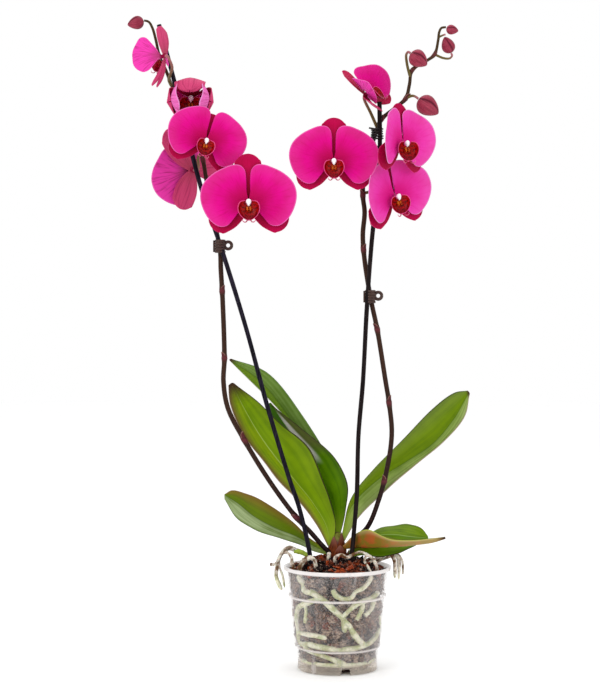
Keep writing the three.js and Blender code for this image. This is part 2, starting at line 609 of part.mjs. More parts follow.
// Azimuth turns the face from the front towards +X, elevation lifts it, roll turns it round itself.
const USUAL_FLOWER = {
  cup: 8, droop: 0, spread: 1, bowl: 400, leftPetal: 1, lip: 1, lipTurn: 0, stalk: 12,
  upper: sepal(), lower: sepal(), drop: 0,
};
const FLOWERS = [
  {
    name: 'flower_left_low', hub: [-97, -56.5, 514], azimuth: 2, elevation: 0, roll: 1, size: 0.98,
    upper: sepal(0, 1.1),
  },
  {
    name: 'flower_left_middle', hub: [-144, -47, 581.5], azimuth: 12, elevation: -4, roll: -16, size: 0.83,
    droop: 4, upper: sepal(0, 0.74),
  },
  {
    name: 'flower_left_back', hub: [-163, 33, 556], azimuth: 216, elevation: 0, roll: -40, size: 0.95,
    cup: 16, upper: sepal(0, 1.2), lower: sepal(10),
  },
  {
    name: 'flower_left_opening', hub: [-161, -15, 630.5], azimuth: 0, elevation: -4, roll: 0, size: 0.98,
    cup: 150, droop: 17, spread: 0.46, bowl: 24, lip: 1.1, stalk: 8, upper: sepal(160, 1.2, 1.12, 8),
    lower: sepal(70, 0.72, 1, 3), drop: -20,
  },
  {
    name: 'flower_left_top', hub: [-190, -36, 674], azimuth: -130, elevation: -8, roll: 7, size: 0.72,
    cup: 110, droop: 14, spread: 0.7, leftPetal: 0.45, stalk: 5, upper: sepal(20, 1.08),
    lower: sepal(60, 1, 0.3), drop: 52,
  },
  {
    name: 'flower_right_front', hub: [-5, -48.5, 559], azimuth: 0, elevation: -3, roll: 0, size: 0.915,
    upper: sepal(0, 1.05),
  },
  {
    name: 'flower_right_upper', hub: [68, -40, 579], azimuth: 50, elevation: 0, roll: 0, size: 0.9,
    cup: 32, lip: 1.1, lipTurn: -35, lower: sepal(5),
  },
  {
    name: 'flower_right_lower', hub: [61, -18, 522.5], azimuth: 40, elevation: 0, roll: 12, size: 0.93,
    cup: 28, lipTurn: -25, lower: sepal(10),
  },
  {
    name: 'flower_right_top', hub: [32.5, -9, 636], azimuth: 60, elevation: 36, roll: 24, size: 0.76,
    cup: 84, spread: 0.84, leftPetal: 0.8, stalk: 5, lower: sepal(40),
  },
].map((facts) => ({ ...USUAL_FLOWER, ...facts }));

function facing({ azimuth, elevation }) {
  const a = radians(azimuth);
  const e = radians(elevation);
  return new THREE.Vector3(Math.sin(a) * Math.cos(e), -Math.cos(a) * Math.cos(e), Math.sin(e));
}

function flowerGroup(flower) {
  const face = facing(flower);
  const right = new THREE.Vector3(0, 0, 1).cross(face).normalize();
  const up = face.clone().cross(right);
  const group = new THREE.Group();
  const turn = new THREE.Matrix4().makeBasis(right, up, face);
  group.quaternion.setFromRotationMatrix(turn);
  group.rotateZ(radians(flower.roll));
  group.position.set(...flower.hub);
  plant.add(group);
  return group;
}

// Where a flower's own short stalk ends, just behind its hub, and a point further back on its axis.
function behind(flower, distance) {
  return vec(flower.hub).addScaledVector(facing(flower), -distance);
}

// ---- Buds ---------------------------------------------------------------------------------------
const BUDS = [
  { name: 'bud_left_tip', end: [-214, -2, 718.5], toward: [-1, 0, -0.24], length: 18.5, radius: 7.8 },
  { name: 'bud_right_large', end: [88.5, -15, 631], toward: [0.8, 0, -0.6], length: 27, radius: 12 },
  { name: 'bud_right_second', end: [79.5, -21, 680.5], toward: [0.8, 0, -0.6], length: 22, radius: 10.4 },
  { name: 'bud_right_third', end: [125.5, -4, 682.5], toward: [-0.37, 0, 0.93], length: 19, radius: 8 },
  { name: 'bud_right_tip', end: [119.5, -6, 709.5], toward: [1, 0, -0.2], length: 13.5, radius: 5.8 },
];

function buildBud({ end, toward, length, radius }) {
  const profile = [[0, 0], [0.5, 0.06], [0.92, 0.28], [1, 0.5], [0.85, 0.76], [0.45, 0.95], [0, 1]];
  const bud = turned(profile.map(([r, t]) => [r * radius, t * length]), 8);
  const axis = vec(toward).normalize();
  bud.applyQuaternion(new THREE.Quaternion().setFromUnitVectors(new THREE.Vector3(0, 0, 1), axis));
  bud.translate(...vec(end).addScaledVector(axis, 1.5 * GAP).toArray());
  return toSolid(bud);
}

// ---- Assembly -----------------------------------------------------------------------------------
const flowerNamed = Object.fromEntries(FLOWERS.map((flower) => [flower.name, flower]));

// A pedicel leaves the stem at a point, passes its bends and ends straight behind the flower's hub.
function flowerPedicel(name, points) {
  const flower = flowerNamed[name];
  return pedicel([...points, behind(flower, flower.stalk), behind(flower, HUB_BACK + GAP)]);
}

const crown = crownSolid(0);
const seat = crownSolid(GAP);

const spikeLeft = largestBody(joined([
  spikeStem(SPIKE_LEFT, SPIKE_LEFT_NODES, SPIKE_STEPS),
  flowerPedicel('flower_left_low', [[-143, -7, 525], [-128, -24, 528]]),
  flowerPedicel('flower_left_middle', [[-150, -5, 572], [-147, -15, 583]]),
  flowerPedicel('flower_left_back', [[-150, -5, 572], [-155, 10, 569]]),
  flowerPedicel('flower_left_opening', [[-171, -4, 624], [-165, -4, 628]]),
  flowerPedicel('flower_left_top', [
    [-184, -4, 647], [-186, -12, 652], [-184, -22, 656], [-181, -34, 664],
  ]),
]).subtract(seat));

const spikeRight = largestBody(joined([
  spikeStem(SPIKE_RIGHT, SPIKE_RIGHT_NODES, SPIKE_STEPS),
  flowerPedicel('flower_right_front', [[29, -3, 545], [14, -16, 553]]),
  flowerPedicel('flower_right_upper', [[36, -3, 576], [47, -2, 580]]),
  flowerPedicel('flower_right_lower', [[28, -3, 528], [42, 0, 530]]),
  flowerPedicel('flower_right_top', [[44, -4, 600], [37, -3, 616]]),
  pedicel([[75, -10, 632], [82, -13, 634.5], [86, -15, 633], [88.5, -15, 631]], 1.3),
  pedicel([[80, -10, 655], [76, -16, 669], [75, -20, 679], [77, -21, 681.5], [79.5, -21, 680]], 1.3),
  pedicel([[107, -6, 681], [117, -5, 677], [124, -4, 677], [126.5, -4, 680], [125.5, -4, 682.5]], 1.1),
  pedicel([[111.5, -6, 700], [119, -6, 703]], 1),
]).subtract(seat));

addPiece('pot', buildPot(), materials.clear);
addPiece('crown', crown, materials.crown);
addPiece('roots', buildRoots(), materials.root);
const barkCutters = [
  toSolid(turned(ROOT_HUB.map(([r, z]) => [r === 0 ? 0 : r + GAP, z < 100 ? z - GAP : z + GAP]), 10)),
  ...airRootSolids(GAP + 0.1), stakeSolid(STAKE_LEFT, GAP), stakeSolid(STAKE_RIGHT, GAP), seat,
];
addPiece('bark', buildBark(barkCutters), materials.bark);
LEAVES.forEach((leaf) => addPiece(leaf.name, buildLeaf(leaf, seat), materials.leaf));

addPiece('stake_left', stakeSolid(STAKE_LEFT), materials.stake);
addPiece('stake_right', stakeSolid(STAKE_RIGHT), materials.stake);
addPiece('spike_left', spikeLeft, materials.stem);
addPiece('spike_right', spikeRight, materials.stem);

const tieHoles = (stake, spike, nodes) => [
  stakeSolid(stake, GAP), spikeStem(spike, nodes, SPIKE_STEPS, GAP),
];
const leftHoles = tieHoles(STAKE_LEFT, SPIKE_LEFT, SPIKE_LEFT_NODES);
const rightHoles = tieHoles(STAKE_RIGHT, SPIKE_RIGHT, SPIKE_RIGHT_NODES);
addPiece('clip_left', buildClip([-128.5, -16, 469], [-131, -8, 469], ...leftHoles, true), materials.clip);
addPiece('clip_right', buildClip([34.5, -12, 413.5], [37.5, -4, 413.5], ...rightHoles, true), materials.clip);
addPiece('clip_upper', buildClip([46, -12, 593], [41, -4, 593], ...rightHoles, false), materials.clip);

FLOWERS.forEach((flower) => {
  const group = flowerGroup(flower);
  addPiece(`${flower.name}_tepals`, buildTepals(flower), materials.petal, group);
  addPiece(`${flower.name}_lip`, buildLip(flower), materials.lip, group);
});
BUDS.forEach((bud) => addPiece(bud.name, buildBud(bud), materials.bud));

export default plant;
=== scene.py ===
# %% [markdown]
# # A moth orchid in a clear grower's pot
#
# The plant has two flower spikes tied to stakes, seven thick leaves, and roots that climb over the
# rim of a clear pot full of bark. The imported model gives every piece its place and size. This lesson
# puts a finer piece in place of each: blades for leaves and petals, rolled-up grids for stems and
# roots, and a spun profile for the pot. Then each piece gets a finish of its own.

import math
import random

import bmesh
import bpy
from mathutils import Matrix, Vector


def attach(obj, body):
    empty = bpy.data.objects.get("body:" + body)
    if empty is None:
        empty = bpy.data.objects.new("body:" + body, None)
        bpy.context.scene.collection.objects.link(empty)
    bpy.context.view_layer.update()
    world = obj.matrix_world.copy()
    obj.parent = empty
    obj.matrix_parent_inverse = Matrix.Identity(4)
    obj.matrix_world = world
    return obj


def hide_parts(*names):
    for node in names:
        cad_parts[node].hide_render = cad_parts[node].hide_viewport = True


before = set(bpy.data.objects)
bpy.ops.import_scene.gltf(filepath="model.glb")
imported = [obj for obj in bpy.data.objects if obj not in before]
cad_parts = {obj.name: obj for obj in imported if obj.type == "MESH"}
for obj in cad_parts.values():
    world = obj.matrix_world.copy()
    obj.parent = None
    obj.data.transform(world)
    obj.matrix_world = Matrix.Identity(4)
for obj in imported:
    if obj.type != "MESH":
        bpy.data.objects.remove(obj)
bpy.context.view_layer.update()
print("packed nodes:", len(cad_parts))

# %% [markdown]
# Sizes below are in millimetres, as a grower would measure them, and Blender works in metres. So each
# piece is modelled in millimetres and scaled once, when it is finished. Stems, roots and leaf edges
# are all given as a few points, and a smooth curve through them gives as many as the skin needs. The
# curve is a Catmull-Rom spline with centripetal steps, which passes through every point and never
# makes a loop between two points that lie close together.

# %% Points on a smooth curve
MM = 0.001


def smooth(points, count):
    """The given number of points on a smooth curve that passes through these."""
    points = [Vector(p) for p in points]
    padded = [2 * points[0] - points[1], *points, 2 * points[-1] - points[-2]]
    spans = len(points) - 1
    curve = []
    for k in range(count):
        place = spans * k / (count - 1)
        i = min(int(place), spans - 1)
        t = place - i
        before, start, stop, after = padded[i:i + 4]
        chords = ((before, start), (start, stop), (stop, after))
        near, here, far = ((b - a).length ** 0.5 for a, b in chords)
        leave = (start - before) * (here / near) - (stop - before) * (here / (near + here)) + (stop - start)
        reach = (stop - start) - (after - start) * (here / (here + far)) + (after - stop) * (here / far)
        bend = 3 * (stop - start) - 2 * leave - reach
        twist = 2 * (start - stop) + leave + reach
        curve.append(start + leave * t + bend * t ** 2 + twist * t ** 3)
    return curve


def smooth_flat(pairs, count):
    """The same for points in a flat drawing."""
    return smooth([(x, y, 0) for x, y in pairs], count)


def turned(direction, degrees):
    """A horizontal direction turned about the upright axis."""
    return Matrix.Rotation(math.radians(degrees), 3, "Z") @ Vector(direction)


print("a curve from 3 points:", [round(p.x, 1) for p in smooth([(0, 0, 0), (4, 0, 0), (6, 2, 0)], 5)])

# %% [markdown]
# Stems, roots and rings are bars. A stem could be a curve with a bevel, but a mesh lets its thickness
# wander round it as well as along it. So a bar starts as a flat grid that is rolled up round a path:
# its long edges meet, are merged and make a tube, and its ends are filled. It keeps the grid's own UV
# map, with u along the piece and v round it, for streaks to follow.

# %% Bars
HAIR = 1e-4  # points closer than this are one point


def new_work():
    """An empty mesh to build a piece in, with the layers that its finish reads."""
    bm = bmesh.new()
    bm.loops.layers.uv.new("UVMap")
    bm.verts.layers.float.new("upper")
    bm.verts.layers.float_vector.new("offset")
    return bm


def add_object(bm, name):
    """Ends the work and puts it in the scene as one object."""
    mesh = bpy.data.meshes.new(name)
    bm.to_mesh(mesh)
    bm.free()
    made = bpy.data.objects.new(name, mesh)
    bpy.context.scene.collection.objects.link(made)
    return made


def add_grid(bm, columns, rows):
    """A grid of faces, with the row and column of each corner."""
    made = bmesh.ops.create_grid(bm, x_segments=columns, y_segments=rows, size=0.5, calc_uvs=True)["verts"]
    places = [(round((v.co.x + 0.5) * columns), round((v.co.y + 0.5) * rows)) for v in made]
    return made, places


def faces_of(verts):
    return list({face: None for vert in verts for face in vert.link_faces})


def paint(faces, material):
    """Gives these faces the finish with that number in the piece's list."""
    for face in faces:
        face.material_index = material


def add_bar(bm, path, radius, sides=12, material=0):
    """A round bar along a path. radius(u, v) says how thick it is at each place of its skin."""
    last = len(path) - 1
    side = None
    rings = []
    for i, centre in enumerate(path):
        ahead = (path[min(i + 1, last)] - path[max(i - 1, 0)]).normalized()
        if side is None:
            side = ahead.cross(Vector((0, 1, 0) if abs(ahead.z) > 0.8 else (0, 0, 1)))
        side = (side - ahead * side.dot(ahead)).normalized()
        rings.append((centre, side, ahead.cross(side)))
    verts, places = add_grid(bm, last, sides)
    for vert, (i, k) in zip(verts, places):
        centre, side, across = rings[i]
        angle = 2 * math.pi * k / sides
        r = radius(i / last, k / sides)
        vert.co = centre + side * (r * math.cos(angle)) + across * (r * math.sin(angle))
    paint(faces_of(verts), material)
    bmesh.ops.remove_doubles(bm, verts=verts, dist=HAIR)
    left = [v for v in verts if v.is_valid]
    rims = [e for e in {e: None for v in left for e in v.link_edges} if e.is_boundary]
    if rims:
        paint(bmesh.ops.holes_fill(bm, edges=rims, sides=0)["faces"], material)


sample = bmesh.new()
print("a grid of 4 by 6 faces has", len(add_grid(sample, 4, 6)[0]), "corners")
sample.free()

# %% [markdown]
# Leaves and petals are blades. A blade starts as a flat grid that is bent to a net of points. It is
# extruded once and the two faces are pushed apart along their normals, so that it can be thick in the
# middle and thin at the rim, which a Solidify modifier can't do as freely. It also carries an
# attribute that is 1 on its upper face and 0 underneath, so that its two faces can be coloured apart.

# %% Blades and finished pieces
def add_blade(bm, points, depth, material=0):
    """A thin blade over a net of points: points[i][k] is its middle, and depth(u, v) its thickness."""
    columns, rows = len(points) - 1, len(points[0]) - 1
    upper = bm.verts.layers.float["upper"]
    offset = bm.verts.layers.float_vector["offset"]
    verts, places = add_grid(bm, columns, rows)
    for vert, (i, k) in zip(verts, places):
        vert.co = points[i][k]
    faces = faces_of(verts)
    paint(faces, material)
    for face in faces:
        face.normal_update()
    for vert, (i, k) in zip(verts, places):
        vert.normal_update()
        vert[offset] = vert.normal * (depth(i / columns, k / rows) / 2)
    made = bmesh.ops.extrude_face_region(bm, geom=faces)["geom"]
    for vert in verts:
        vert.co += vert[offset]
        vert[upper] = 1
    for vert in made:
        if isinstance(vert, bmesh.types.BMVert):
            vert.co -= vert[offset]
            vert[upper] = 0


def net(lines, columns, rows):
    """A fine net of points through a few lines of points that run along a blade."""
    fine = [smooth(line, columns + 1) for line in lines]
    return [smooth(cross, rows + 1) for cross in zip(*fine)]


def finish_piece(bm, name, finishes, nodes, flat=False):
    """Makes the work a piece of the plant, which rides on the root body in place of CAD nodes."""
    bmesh.ops.recalc_face_normals(bm, faces=bm.faces)
    bmesh.ops.scale(bm, vec=(MM, MM, MM), verts=bm.verts)
    bm.verts.layers.float_vector.remove(bm.verts.layers.float_vector["offset"])
    piece = add_object(bm, name)
    mesh = piece.data
    mesh.polygons.foreach_set("use_smooth", [not flat] * len(mesh.polygons))
    for finish in finishes:
        mesh.materials.append(finish)
    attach(piece, "root")
    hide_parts(*nodes)
    print(f"{name}: {len(mesh.polygons)} faces")
    return piece


print("a net between two lines:", len(net([[(0, 0, 0), (9, 0, 0)], [(0, 5, 0), (9, 6, 0)]], 8, 4)), "rows")

# %% [markdown]
# Finishes are written as sums. A wire is one output of a shader node, and Python's operators are
# taught to add the Math node that does the same sum, so a pattern reads like the formula it is.

# %% Shader sums
STUDIO_LIGHT = 1.3  # the soft light from all sides shows a colour this much brighter


def rgb(red, green, blue):
    """A colour as the photograph shows it, from 0 to 255, turned into the shader's share of light."""
    linear = [((c / 255 + 0.055) / 1.055) ** 2.4 if c > 10 else c / 3295 for c in (red, green, blue)]
    return tuple(c / STUDIO_LIGHT for c in linear) + (1,)


class Wire:
    """One output of a node. Sums on it add Math nodes."""

    def __init__(self, finish, socket):
        self.finish = finish
        self.socket = socket

    def maths(self, operation, *values):
        return self.finish.node("ShaderNodeMath", {"operation": operation}, dict(enumerate(values)))

    def __add__(self, other):
        return self.maths("ADD", self, other)

    def __sub__(self, other):
        return self.maths("SUBTRACT", self, other)

    def __rsub__(self, other):
        return self.maths("SUBTRACT", other, self)

    def __mul__(self, other):
        return self.maths("MULTIPLY", self, other)

    __radd__ = __add__
    __rmul__ = __mul__

    def away_from(self, value):
        return self.maths("ABSOLUTE", self - value)

    def below(self, other):
        return self.maths("MINIMUM", self, other)

    def step(self, low, high):
        """0 under low, 1 over high, and smooth between. With low above high it falls."""
        settings = {"interpolation_type": "SMOOTHSTEP"}
        sockets = {"Value": self, "From Min": low, "From Max": high}
        return self.finish.node("ShaderNodeMapRange", settings, sockets)


print("mid grey in the shader:", round(rgb(128, 128, 128)[0], 3))

# %% [markdown]
# A finish is a material while it is written. Values that are the same all over are set on the shader
# at the start. Every other node comes from one method that sets the node up and plugs in its sockets,
# and short methods on top of it give what the plant needs: a place, clouds, streaks, and thin coats of
# colour laid over each other, each covering a share of what lies below.

# %% A finish
MATT = 0.06  # under light from all sides, more gloss would wash the dark colours grey


class Finish:
    """A material while it is written."""

    def __init__(self, name, **constants):
        self.material = bpy.data.materials.new(name)
        self.material.use_nodes = True
        self.tree = self.material.node_tree
        self.surface = self.tree.nodes["Principled BSDF"]
        for socket, value in {"Specular_IOR_Level": MATT, **constants}.items():
            self.surface.inputs[socket.replace("_", " ")].default_value = value

    def plug(self, socket, value):
        if isinstance(value, Wire):
            self.tree.links.new(value.socket, socket)
        else:
            socket.default_value = value

    def node(self, kind, settings=None, sockets=None, output=0):
        made = self.tree.nodes.new(kind)
        for setting, value in (settings or {}).items():
            setattr(made, setting, value)
        for socket, value in (sockets or {}).items():
            self.plug(made.inputs[socket], value)
        return Wire(self, made.outputs[output])

    def place(self, stretch=(1, 1, 1)):
        """The place on the piece in metres, stretched."""
        where = self.node("ShaderNodeTexCoord", output="Object")
        return self.node("ShaderNodeMapping", {}, {"Vector": where, "Scale": stretch})

    def height(self):
        """How high a place lies, in metres."""
        parts = self.node("ShaderNodeSeparateXYZ", {}, {"Vector": self.place()})
        return Wire(self, parts.socket.node.outputs[2])

    def uv(self):
        """How far along and how far across the skin a place lies."""
        where = self.node("ShaderNodeUVMap", {"uv_map": "UVMap"})
        parts = self.node("ShaderNodeSeparateXYZ", {}, {"Vector": where})
        return parts, Wire(self, parts.socket.node.outputs[1])

    def upper(self):
        return self.node("ShaderNodeAttribute", {"attribute_name": "upper"}, output="Fac")

    def noise(self, scale, detail=3.0, rough=0.55, stretch=(1, 1, 1), where=None):
        """Clouds or grain, by the place on the piece unless another place is given."""
        where = where or self.place(stretch)
        sockets = {"Vector": where, "Scale": scale, "Detail": detail, "Roughness": rough}
        return self.node("ShaderNodeTexNoise", {}, sockets)

    def streaks(self, along, across, seed=0.0):
        """Noise in long streaks that follow the skin's own u."""
        u, v = self.uv()
        where = self.node("ShaderNodeCombineXYZ", {}, {"X": u * along, "Y": v * across, "Z": seed})
        return self.noise(1.0, where=where)

    def mix(self, share, first, second):
        """A colour between two, where share runs from 0 to 1."""
        sockets = {0: share, 6: first, 7: second}
        return self.node("ShaderNodeMix", {"data_type": "RGBA", "clamp_factor": True}, sockets, output=2)

    def coats(self, colour, *coats):
        """A colour with coats of others over it, each given as the share it covers and its colour."""
        for share, coat in coats:
            colour = self.mix(share, colour, coat)
        return colour

    def bump(self, height, depth, strength=1.0):
        """Relief of a depth in millimetres."""
        sockets = {"Height": height, "Distance": depth * MM, "Strength": strength}
        self.plug(self.surface.inputs["Normal"], self.node("ShaderNodeBump", {}, sockets))

    def done(self, **sockets):
        for socket, value in sockets.items():
            self.plug(self.surface.inputs[socket.replace("_", " ")], value)
        return self.material


def two_tone(name, share, first, second, roughness, **constants):
    """A plain finish between two colours. share is a function that writes the mask."""
    finish = Finish(name, **constants)
    return finish.done(Base_Color=finish.mix(share(finish), first, second), Roughness=roughness)


print("usual specular level:", MATT)

# %% [markdown]
# ## The stage
#
# The photograph is a bright studio cut-out, so the floor is pale and the light is soft and comes from
# almost everywhere. The camera stands two metres away at a little over half the plant's height and
# looks slightly down: the ellipse of the pot's rim and the flat line of its foot fix that angle.

# %% Floor, light and camera
CAMERA_PLACE = (-41.6, -2000, 397.4)
CAMERA_DOWN = 0.963  # degrees
CAMERA_LENS = 94.93
CAMERA_SENSOR = 36
FLOOR_RADIUS = 6  # metres
FLOOR_DROP = 0.0005  # metres, so that floor and pot don't lie in one plane
LIGHT_TARGET = (0, 0, 0.35)
WHITE = (1, 1, 1, 1)


def add_floor():
    bm = bmesh.new()
    bmesh.ops.create_circle(bm, cap_ends=True, segments=96, radius=FLOOR_RADIUS)
    floor = add_object(bm, "floor")
    floor.location.z = -FLOOR_DROP
    floor.data.materials.append(Finish("floor_paper").done(Base_Color=WHITE, Roughness=0.9))


def add_softbox(name, place, size, watts):
    light = bpy.data.lights.new(name, "AREA")
    light.shape = "RECTANGLE"
    light.size, light.size_y = size
    light.energy = watts
    lamp = bpy.data.objects.new(name, light)
    lamp.location = place
    lamp.rotation_euler = (Vector(LIGHT_TARGET) - lamp.location).to_track_quat("-Z", "Y").to_euler()
    bpy.context.scene.collection.objects.link(lamp)


def add_camera():
    lens = bpy.data.cameras.new("camera")
    lens.sensor_fit = "VERTICAL"
    lens.sensor_height = CAMERA_SENSOR
    lens.lens = CAMERA_LENS
    camera = bpy.data.objects.new("camera", lens)
    camera.location = Vector(CAMERA_PLACE) * MM
    camera.rotation_euler = (math.radians(90 - CAMERA_DOWN), 0, 0)
    bpy.context.scene.collection.objects.link(camera)
    bpy.context.scene.camera = camera


def add_sky():
    world = bpy.data.worlds.new("studio")
    world.use_nodes = True
    sky = world.node_tree.nodes["Background"]
    sky.inputs["Color"].default_value = WHITE
    sky.inputs["Strength"].default_value = 1.0
    bpy.context.scene.world = world


add_floor()
add_softbox("key", (-1.1, -1.5, 1.5), (0.9, 1.2), 11)
add_softbox("fill", (1.3, -1.2, 0.9), (0.5, 1.4), 3)
add_softbox("top", (0.2, 0.5, 1.9), (1.4, 1.0), 6)
add_sky()
add_camera()
bpy.context.scene.view_settings.view_transform = "Standard"
print("camera at", CAMERA_PLACE, "mm")

# %% [markdown]
# ## The pot
#
# A grower's pot is moulded in one go from clear plastic, so it is a shape of revolution: its profile
# is drawn once, from the middle of the floor out, up the wall and back down inside, and spun.

# %% The pot's profile
FOOT_RADIUS = 44.4
FLOOR_TOP = 1.4
POT_SIDES = 128
POT_OUTSIDE = [
    (0, 0), (42.6, 0), (44.1, 0.4), (FOOT_RADIUS, 1.2), (43.9, 8),  # the frosted foot
    (45.7, 24.2), (46.4, 24.8), (47.3, 25.1), (47.7, 25.9), (50.2, 43), (52.8, 79.4),  # the step
    (53.1, 80.4), (54, 80.6), (54.5, 81.3), (54.4, 82.2), (56.2, 108.6),  # the raised bead
    (56.6, 110.2), (58.4, 110.6), (59.7, 110.9), (60, 111.7), (60, 113.4), (59.6, 114.2), (58.8, 114.5),
]
LIP_INSIDE = [(57.9, 114.4), (57.1, 113.8), (56.2, 112)]
POT_INSIDE = [
    (42.7, FLOOR_TOP), (42.7, 8), (44.5, 24.4), (46.4, 26.2), (49, 43), (51.7, 80.4), (55.1, 110.5),
]


def inner_radius(height):
    """The radius of the pot's inner wall at a height."""
    for (r0, z0), (r1, z1) in zip(POT_INSIDE, POT_INSIDE[1:]):
        if height <= z1 or (r1, z1) == POT_INSIDE[-1]:
            return r0 + (r1 - r0) * (height - z0) / (z1 - z0)


def spin_profile(bm, profile, sides, material=0):
    """A shape of revolution from points (radius, height) that start and end on the axis."""
    others = set(bm.verts)
    verts = [bm.verts.new((r, 0, z)) for r, z in profile]
    edges = [bm.edges.new(pair) for pair in zip(verts, verts[1:])]
    bmesh.ops.spin(
        bm, geom=verts + edges, cent=(0, 0, 0), axis=(0, 0, 1), dvec=(0, 0, 0),
        angle=2 * math.pi, steps=sides, use_merge=True, use_duplicate=False,
    )
    spun = [v for v in bm.verts if v not in others]
    paint(faces_of(spun), material)
    bmesh.ops.remove_doubles(bm, verts=spun, dist=HAIR)


print("the wall's inner radius half way up:", round(inner_radius(57), 1), "mm")

# %% [markdown]
# The drain notches at the foot could be drawn into the skin, but a Boolean with four tapered wedges
# cuts them with clean edges, as the mould's own pins do.

# %% The wedges of the drain notches
NOTCHES = 4
NOTCH_HEIGHT = 7
NOTCH_WIDTH = 12.5
NOTCH_TOP = 8.5
NOTCH_TURN = 11  # degrees
WEDGE_LENGTH = 12
WEDGE_INSET = 4


def notch_cutters():
    """Wedges that cut the drain notches out of the foot."""
    bm = bmesh.new()
    for k in range(NOTCHES):
        wedge = bmesh.ops.create_cube(bm, size=1)["verts"]
        bmesh.ops.scale(bm, vec=(NOTCH_WIDTH, WEDGE_LENGTH, NOTCH_HEIGHT + 1), verts=wedge)
        bmesh.ops.translate(bm, verts=wedge, vec=(0, WEDGE_INSET - FOOT_RADIUS, (NOTCH_HEIGHT - 1) / 2))
        top = [vert for vert in wedge if vert.co.z > 1]
        bmesh.ops.scale(bm, vec=(NOTCH_TOP / NOTCH_WIDTH, 1, 1), verts=top)
        turn = Matrix.Rotation(2 * math.pi * k / NOTCHES + math.radians(NOTCH_TURN), 3, "Z")
        bmesh.ops.rotate(bm, verts=wedge, cent=(0, 0, 0), matrix=turn)
    bmesh.ops.scale(bm, vec=(MM, MM, MM), verts=bm.verts)
    print("wedges for the notches:", NOTCHES)
    return add_object(bm, "notch_cutters")


# %% [markdown]
# The plastic is nearly clear on the wall and clouds at a grazing angle, with dust, scuffs and upright
# streaks of painted highlight. It is white at the lip and on the two raised lines, partly because it is
# thick there and partly as painted highlight, and frosted beige at the foot. Real glass-like refraction
# would be slow and noisy here, so the finish only varies how much of the plastic is there: its alpha.

# %% Clear plastic, and the pot
BEAD_HEIGHTS = (0.0812, 0.0253)  # metres
BEAD_FALL = 520  # the white is gone 1/520 m from the middle of a bead


def clear_plastic():
    """Clear, hazy where it is seen at a slant, white at the rim and beads from thick plastic and painted
    highlight, with upright streaks of painted highlight, and frosted at the foot.
    """
    finish = Finish("clear_plastic", IOR=1.46, Coat_Weight=0.3, Coat_Roughness=0.05, Specular_IOR_Level=0.5)
    height = finish.height()
    foot = height.step(0.0115, 0.0095)
    # white at the rim and the beads: partly the thick plastic, partly painted highlight
    rim = height.step(0.109, 0.1105)
    bead = sum(1 - (height.away_from(line) * BEAD_FALL).below(1) for line in BEAD_HEIGHTS)
    graze = finish.node("ShaderNodeLayerWeight", {}, {"Blend": 0.3}, output="Facing")
    cloud = finish.noise(70.0, 5.0, stretch=(1, 1, 0.45))
    scuffs = cloud.step(0.44, 0.74)
    # painted highlight: upright streaks that are whiter and less clear
    painted_gleam = finish.noise(95.0, 2.0, stretch=(1, 1, 0.05)).step(0.6, 0.7)
    dust = finish.noise(430.0, 3.0).step(0.52, 0.68)
    alpha = 0.02 + graze * 0.32 + scuffs * 0.08 + dust * 0.1 + foot * 0.18
    alpha = alpha + rim * 0.9 + bead * 0.7 + painted_gleam * 0.2
    colour = finish.coats(
        rgb(250, 244, 242),
        (foot.below(1), rgb(234, 220, 204)),
        ((bead + painted_gleam).below(1), rgb(255, 246, 242)),
    )
    finish.bump(cloud, 0.4, 0.25)
    return finish.done(Base_Color=colour, Alpha=alpha.below(1), Roughness=0.12 + foot * 0.35 + scuffs * 0.1)


def make_pot():
    bm = new_work()
    spin_profile(bm, [*POT_OUTSIDE, *LIP_INSIDE, *reversed(POT_INSIDE), (0, FLOOR_TOP)], POT_SIDES)
    pot = finish_piece(bm, "clear_pot", [clear_plastic()], ["pot"])
    cutters = notch_cutters()
    cut = pot.modifiers.new("drain_notches", "BOOLEAN")
    cut.operation = "DIFFERENCE"
    cut.solver = "EXACT"
    cut.object = cutters
    shaped = bpy.data.meshes.new_from_object(pot.evaluated_get(bpy.context.evaluated_depsgraph_get()))
    pot.modifiers.clear()
    pot.data = shaped
    shaped.set_sharp_from_angle(angle=math.radians(40))
    bpy.data.objects.remove(cutters)
    print("pot after the notches:", len(shaped.polygons), "faces")


make_pot()

# %% [markdown]
# ## Roots
#
# An orchid's roots are fat, smooth and silvery where they are dry, and pale green against the wet
# wall. Some press against the inside of the pot. Those are drawn on the unrolled wall, as pairs of an
# angle round the pot and a height, and put on the wall afterwards. Others arch over the bark and hang
# outside the rim, and those are points in space. Each line is given with its root's radius.

